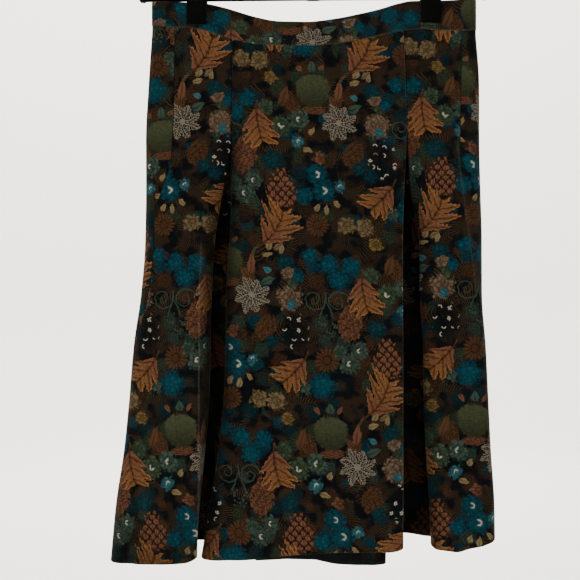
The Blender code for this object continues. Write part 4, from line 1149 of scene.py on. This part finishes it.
def draw_needles(at):
    """Fans of brown needle strokes."""
    x, y, (away_u, away_v, share) = scattered(at.spot, 27.0)
    reach, angle = polar(fused(away_u, 0.05, x - 0.025), fused(away_v, 0.05, y - 0.025))
    stroke = absolute(sine(fused(angle, 34.0, at.cloud * 3.0)))
    broken = smooth(noise(at.spot, 55.0), 0.41, 0.55)
    tuft = smooth(share, 0.05, 0.20) * broken * smooth(reach, 0.002, 0.008)
    yield smooth(stroke, 0.50, 0.95) * fused(at.grain, 1.6, 0.2) * tuft, dye("needle")


DRAWINGS = (draw_needles, draw_dim_flowers, draw_thistles, draw_shaggy, draw_bits, draw_scrolls,
            draw_flowers, draw_lace, draw_pod, draw_petals, draw_cone, draw_leaves)


def printed_colour(tree):
    """The print's colour over the cloth, and the fields that it is drawn from."""
    flat = tree.nodes.new("ShaderNodeUVMap")
    flat.uv_map = "print"
    past_join, jump = point_value(tree, "past join"), point_value(tree, "join cut", "Vector")
    cut = scaled(jump, maths("GREATER_THAN", past_join, 0.0))
    spot = new_node("VectorMath", (Field(flat.outputs[0]), cut), operation="ADD")
    wander = separate(noise(spot, 140.0, 3.0, 0.6, "Color"))
    u, v = (fused(way, 1000, fused(wave, WAVER, -WAVER / 2))
            for way, wave in zip(separate(spot)[:2], wander))
    at = SimpleNamespace(spot=spot, u=u, v=v, grain=noise(spot, 820.0, 2.0, 0.6),
                         cloud=noise(spot, 270.0, 2.0, 0.5))
    colour = scaled(dye("ground"), fused(at.grain, 1.3, 0.4))
    for drawing in DRAWINGS:
        for share, dyed in drawing(at):
            colour = mixed(share, colour, dyed)
    jump_u, jump_v, _ = separate(jump)
    join = smooth(absolute(past_join), JOIN_LINE, 0.3 * JOIN_LINE)
    join = join * smooth(absolute(jump_u) + absolute(jump_v), 0.001, 0.005)
    return mixed(join * 0.8, colour, dye("ground")), at


# ---------------- materials
def plain_material(name, colour, roughness, metallic=0.0, specular=0.5):
    """A material, and its shader's sockets."""
    made = bpy.data.materials.new(name)
    made.use_nodes = True
    sockets = made.node_tree.nodes["Principled BSDF"].inputs
    fill(sockets, {"Base Color": colour, "Roughness": roughness, "Metallic": metallic,
                   "Specular IOR Level": specular})
    return made, sockets


def object_spot(made):
    """The place on the object, as a field."""
    return Field(made.node_tree.nodes.new("ShaderNodeTexCoord").outputs["Object"])


def bumped(height, distance, sockets, strength=0.6):
    """Roughens a shader by a field of heights."""
    bump = height.tree.nodes.new("ShaderNodeBump")
    fill(bump.inputs, {"Strength": strength, "Distance": distance, "Height": height})
    plug_in(Field(bump.outputs[0]), sockets["Normal"])


def velveteen_material():
    """Printed velveteen: matt, with a short nap; a painted highlight along folds, ridges and seams, and
    painted shade in pleats.
    """
    made, sockets = plain_material("printed velveteen", dye("ground"), 0.85, specular=0.02)
    tree = made.node_tree
    colour, at = printed_colour(tree)
    # painted highlight: a pale line in the lace dye along folds, ridges and seams
    highlight = point_value(tree, "fold") * smooth(at.grain, 0.36, 0.60)
    worn = mixed(smooth(highlight, 0.1, 0.9) * FOLD_HIGHLIGHT, colour, dye("lace"))
    # painted shade inside pleats and where a face rolls into one, on top of the pile's darkening of all
    # dyes
    shade = fused(point_value(tree, "pleat shade"), (INNER_SHADE - 1) * PRINT_TONE, PRINT_TONE)
    fill(sockets, {"Base Color": scaled(worn, shade), "Sheen Weight": 0.02,
                   "Sheen Roughness": 0.5, "Sheen Tint": (0.75, 0.78, 0.80)})
    bumped(noise(at.spot, 2400.0, 2.0, 0.7), 0.0005, sockets)
    return made


def sharpness(tree, radius):
    """0 on flat faces and 1 along edges: how far a rounded normal turns from the true one."""
    rounded = tree.nodes.new("ShaderNodeBevel")
    rounded.inputs["Radius"].default_value = radius
    rounded.samples = 4
    true = Field(tree.nodes.new("ShaderNodeNewGeometry").outputs["Normal"])
    alike = new_node("VectorMath", (Field(rounded.outputs[0]), true), "Value",
                     operation="DOT_PRODUCT")
    return smooth(alike, 0.985, 0.86)


def plastic_material(name, colour, worn, roughness, specular):
    """Moulded plastic: fine texture, dull and paler along its edges, faint flow marks."""
    made, sockets = plain_material(name, colour, roughness, specular=specular)
    spot = object_spot(made)
    flow = noise(spot, 90.0, 3.0, 0.6)
    edge = sharpness(made.node_tree, 0.0006) * smooth(flow, 0.35, 0.60)
    fill(sockets, {"Base Color": mixed(edge, colour, worn),
                   "Roughness": fused(flow, 0.25, roughness - 0.12)})
    bumped(noise(spot, 2600.0, 1.0), 0.0001, sockets)
    return made


def steel_material():
    """Bright drawn wire: scratches along its length, duller where hands and rails rub it."""
    bright, dull = (0.42, 0.42, 0.42), (0.28, 0.27, 0.25)
    made, sockets = plain_material("bright steel", bright, 0.22, metallic=1.0)
    spot = object_spot(made)
    stain = noise(spot, 60.0, 4.0, 0.65)
    along = new_node("VectorMath", (spot, (2600.0, 2600.0, 90.0)), operation="MULTIPLY")
    scratch = noise(along, 1.0, 2.0)
    fill(sockets, {"Base Color": mixed(smooth(stain, 0.45, 0.65), bright, dull),
                   "Roughness": fused(scratch, 0.16, fused(stain, 0.22, 0.06))})
    bumped(scratch, 0.00004, sockets)
    return made


def wrong_side_material():
    """The woven back of the velveteen: near black, with a fine twill line."""
    dark, light, lint = (0.002, 0.0026, 0.003), (0.005, 0.006, 0.0066), (0.022, 0.022, 0.021)
    made, sockets = plain_material("velveteen wrong side", dark, 0.95, specular=0.03)
    spot = object_spot(made)
    x, _, z = separate(spot)
    twill = absolute(sine(fused(x, 4200.0, z * 4200.0)))
    specks = smooth(noise(spot, 420.0, 3.0, 0.7), 0.58, 0.74)
    plug_in(mixed(specks * 0.4, mixed(twill, dark, light), lint), sockets["Base Color"])
    bumped(twill, 0.0002, sockets)
    return made


def thread_material():
    """Dark sewing thread with the turn of its two plies."""
    dark, light = (0.008, 0.009, 0.011), (0.030, 0.032, 0.036)
    made, sockets = plain_material("sewing thread", dark, 0.7, specular=0.2)
    ply = absolute(sine(separate(object_spot(made))[2] * 9000.0))
    plug_in(mixed(ply, dark, light), sockets["Base Color"])
    return made


# ---------------- stitches
STITCH_LENGTH = 2.3
STITCH_PITCH = 3.1
STITCH_THICK = 0.22  # radius of the thread
STITCH_IN = 3.0      # from the edge of the cloth to its row of stitches
STITCH_SHAPE = ((0.0, 0.5), (0.18, 0.0), (0.82, 0.0), (1.0, 0.5))     # share of its length, sunk


def thread_piece(name, runs, thread):
    """Short threads, each a run of points in mm (x, out behind the mid-plane, z)."""
    curve = bpy.data.curves.new(name, "CURVE")
    set_all(curve, dimensions="3D", bevel_depth=STITCH_THICK * MM, bevel_resolution=1,
            resolution_u=1, use_fill_caps=True)
    for run in runs:
        spline = curve.splines.new("POLY")
        spline.points.add(len(run) - 1)
        for point, (x, out, z) in zip(spline.points, run):
            point.co = (x * MM, out * MM, z * MM, 1)
    curve.materials.append(thread)
    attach(placed(name, curve), "root")


def stitch_line(grid, wall, row_at, column_at):
    """Stitches along a line of a back grid, given by its row and column at each step."""
    x, out, z = (grid[key][row_at, column_at] for key in ("x", "out", "z"))
    lie = out + wall / 2 + STITCH_THICK * 0.4
    way = np.concatenate([[0], np.cumsum(np.hypot(np.diff(x), np.diff(z)))])
    runs = []
    for start in np.arange(STITCH_IN, way[-1] - STITCH_IN, STITCH_PITCH):
        steps = [(start + STITCH_LENGTH * share, sink) for share, sink in STITCH_SHAPE]
        runs.append([(np.interp(at, way, x), np.interp(at, way, lie) - sink,
                      np.interp(at, way, z)) for at, sink in steps])
    return runs


def stitched_column(grid):
    """The column of a grid along which the end of the lap or the placket is sewn."""
    return int(np.argmin(np.abs(grid["x"][0] + LAP_WIDTH - STITCH_IN)))


def build_stitches(thread):
    """Rows of stitches down the placket and round its end, and down the end of the lap."""
    placket, lap = placket_grid(), band_grid(-LAP_WIDTH, BAND_RIGHT, False, lap=True)
    inset = stitched_column(placket)
    runs = stitch_line(placket, SHELL, slice(None), inset)
    runs += stitch_line(placket, SHELL, -3, slice(inset, None))
    thread_piece("placket_stitches", runs, thread)
    runs = stitch_line(lap, BAND_SHELL, slice(None), stitched_column(lap))
    thread_piece("lap_stitches", runs, thread)


HOLES_OUT = 1.6      # from the button's centre to each of its four holes
BUTTON_WEB = 1.6     # height of the button's sunk middle over its own back
BUTTON_STAND = 0.4   # length of the thread shank under the button
STRAND_GAP = 0.35
STRAND_ENDS = 0.3    # height at which the strands go into the holes


def sew_button(thread):
    """Two crossed bars of double thread through the button's four holes."""
    top_z, seam_z = BAND_AT["top_z"](BUTTON_X), BAND_AT["seam_z"](BUTTON_X)
    top, seam = (float(BAND_OUT[edge](BUTTON_X)) for edge in ("back_top", "back_seam"))
    lean = math.atan2(seam - top, top_z - seam_z)
    outward = Vector((0, math.cos(lean), math.sin(lean)))
    foot = Vector((BUTTON_X, (top + seam) / 2, (top_z + seam_z) / 2))
    foot += outward * (BAND / 2 + BAND + SEAM_GAP + BUTTON_STAND)
    facing = outward.to_track_quat("Z", "Y")
    runs = []
    for k in (1, 3):
        hole = Vector((math.cos(math.pi / 4 * k), math.sin(math.pi / 4 * k), 0)) * HOLES_OUT
        beside = Vector((-hole.y, hole.x, 0)).normalized() * STRAND_GAP
        above = BUTTON_WEB + STITCH_THICK * (k + 1) / 2
        for side in (-0.5, 0.5):
            run = ((hole, STRAND_ENDS), (hole, above), (-hole, above), (-hole, STRAND_ENDS))
            runs.append([foot + facing @ (end + beside * side + Vector((0, 0, h)))
                         for end, h in run])
    thread_piece("button_thread", runs, thread)


# ---------------- stage, light, camera
FLOOR_Z = -1.02
STAGE_RADIUS = 3.2
STAGE_FILLET = 0.6
STAGE_TOP = 3.0


def build_stage():
    """A round pale floor that sweeps up into a low wall far outside every view."""
    flat = STAGE_RADIUS - STAGE_FILLET
    profile = [(0.0, 0.0, FLOOR_Z), (flat, 0.0, FLOOR_Z)]
    for angle in np.linspace(0, math.pi / 2, 13)[1:]:
        profile.append((flat + STAGE_FILLET * math.sin(angle), 0.0,
                        FLOOR_Z + STAGE_FILLET * (1 - math.cos(angle))))
    profile.append((STAGE_RADIUS, 0.0, STAGE_TOP))
    mesh = bpy.data.meshes.new("floor")
    mesh.from_pydata(profile, [(k, k + 1) for k in range(len(profile) - 1)], [])
    mesh.materials.append(plain_material("pale stage", (0.93, 0.925, 0.88), 0.9, specular=0.1)[0])
    floor = placed("floor", mesh)
    set_all(floor.modifiers.new("turn", "SCREW"), steps=96, render_steps=96,
            use_merge_vertices=True, use_smooth_shade=True)


MIDDLE = (0.0, 0.0, -0.45)
# name: place, target, watts, size, colour
LIGHTS = {
    "key": ((-1.5, -1.5, 0.6), MIDDLE, 50, 0.9, (1.0, 0.93, 0.82)),
    "fill": ((1.5, -1.3, -0.3), (0.05, 0.0, -0.6), 14, 1.2, (0.86, 0.93, 1.0)),
    "back_fill": ((0.4, 1.9, 0.6), MIDDLE, 14, 1.4, (1.0, 0.98, 0.96)),
    "wall_wash": ((-0.2, 1.0, 2.4), (0.0, 2.9, -0.5), 260, 2.2, (1.0, 0.99, 0.97)),
}


def build_lights():
    world = bpy.data.worlds.new("soft room")
    world.use_nodes = True
    sky = world.node_tree.nodes["Background"].inputs
    fill(sky, {"Color": (1.0, 0.99, 0.97), "Strength": 0.32})
    bpy.context.scene.world = world
    for name, (place, target, watts, size, colour) in LIGHTS.items():
        light = bpy.data.lights.new(name, "AREA")
        set_all(light, energy=watts, size=size, color=colour)
        aim = (Vector(target) - Vector(place)).to_track_quat("-Z", "Y").to_euler()
        set_all(placed(name, light), location=place, rotation_euler=aim)


CAMERA_PLACE = (-0.02856, -1.130, -0.4507)
CAMERA_LENS = 57.37


def build_camera():
    lens = bpy.data.cameras.new("camera")
    set_all(lens, lens=CAMERA_LENS, sensor_width=36)
    camera = placed("camera", lens)
    set_all(camera, location=CAMERA_PLACE, rotation_euler=(math.pi / 2, 0, 0))
    bpy.context.scene.camera = camera


# ---------------- the scene
def dress_hanger():
    plastic = plastic_material("black plastic", (0.0007, 0.0008, 0.0008),
                               (0.006, 0.006, 0.006), 0.60, 0.015)
    horn = plastic_material("button plastic", (0.005, 0.0035, 0.0026),
                            (0.012, 0.009, 0.007), 0.42, 0.2)
    finishes = {"hanger_hook": steel_material(), "waist_button": horn}
    for node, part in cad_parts.items():
        if node.startswith(("clip", "hanger", "hook_boss", "waist_button")):
            part.data.materials.clear()
            part.data.materials.append(finishes.get(node, plastic))


build_stage()
build_lights()
build_camera()
build_cloth((velveteen_material(), wrong_side_material()))
dress_hanger()
sewing_thread = thread_material()
build_stitches(sewing_thread)
sew_button(sewing_thread)
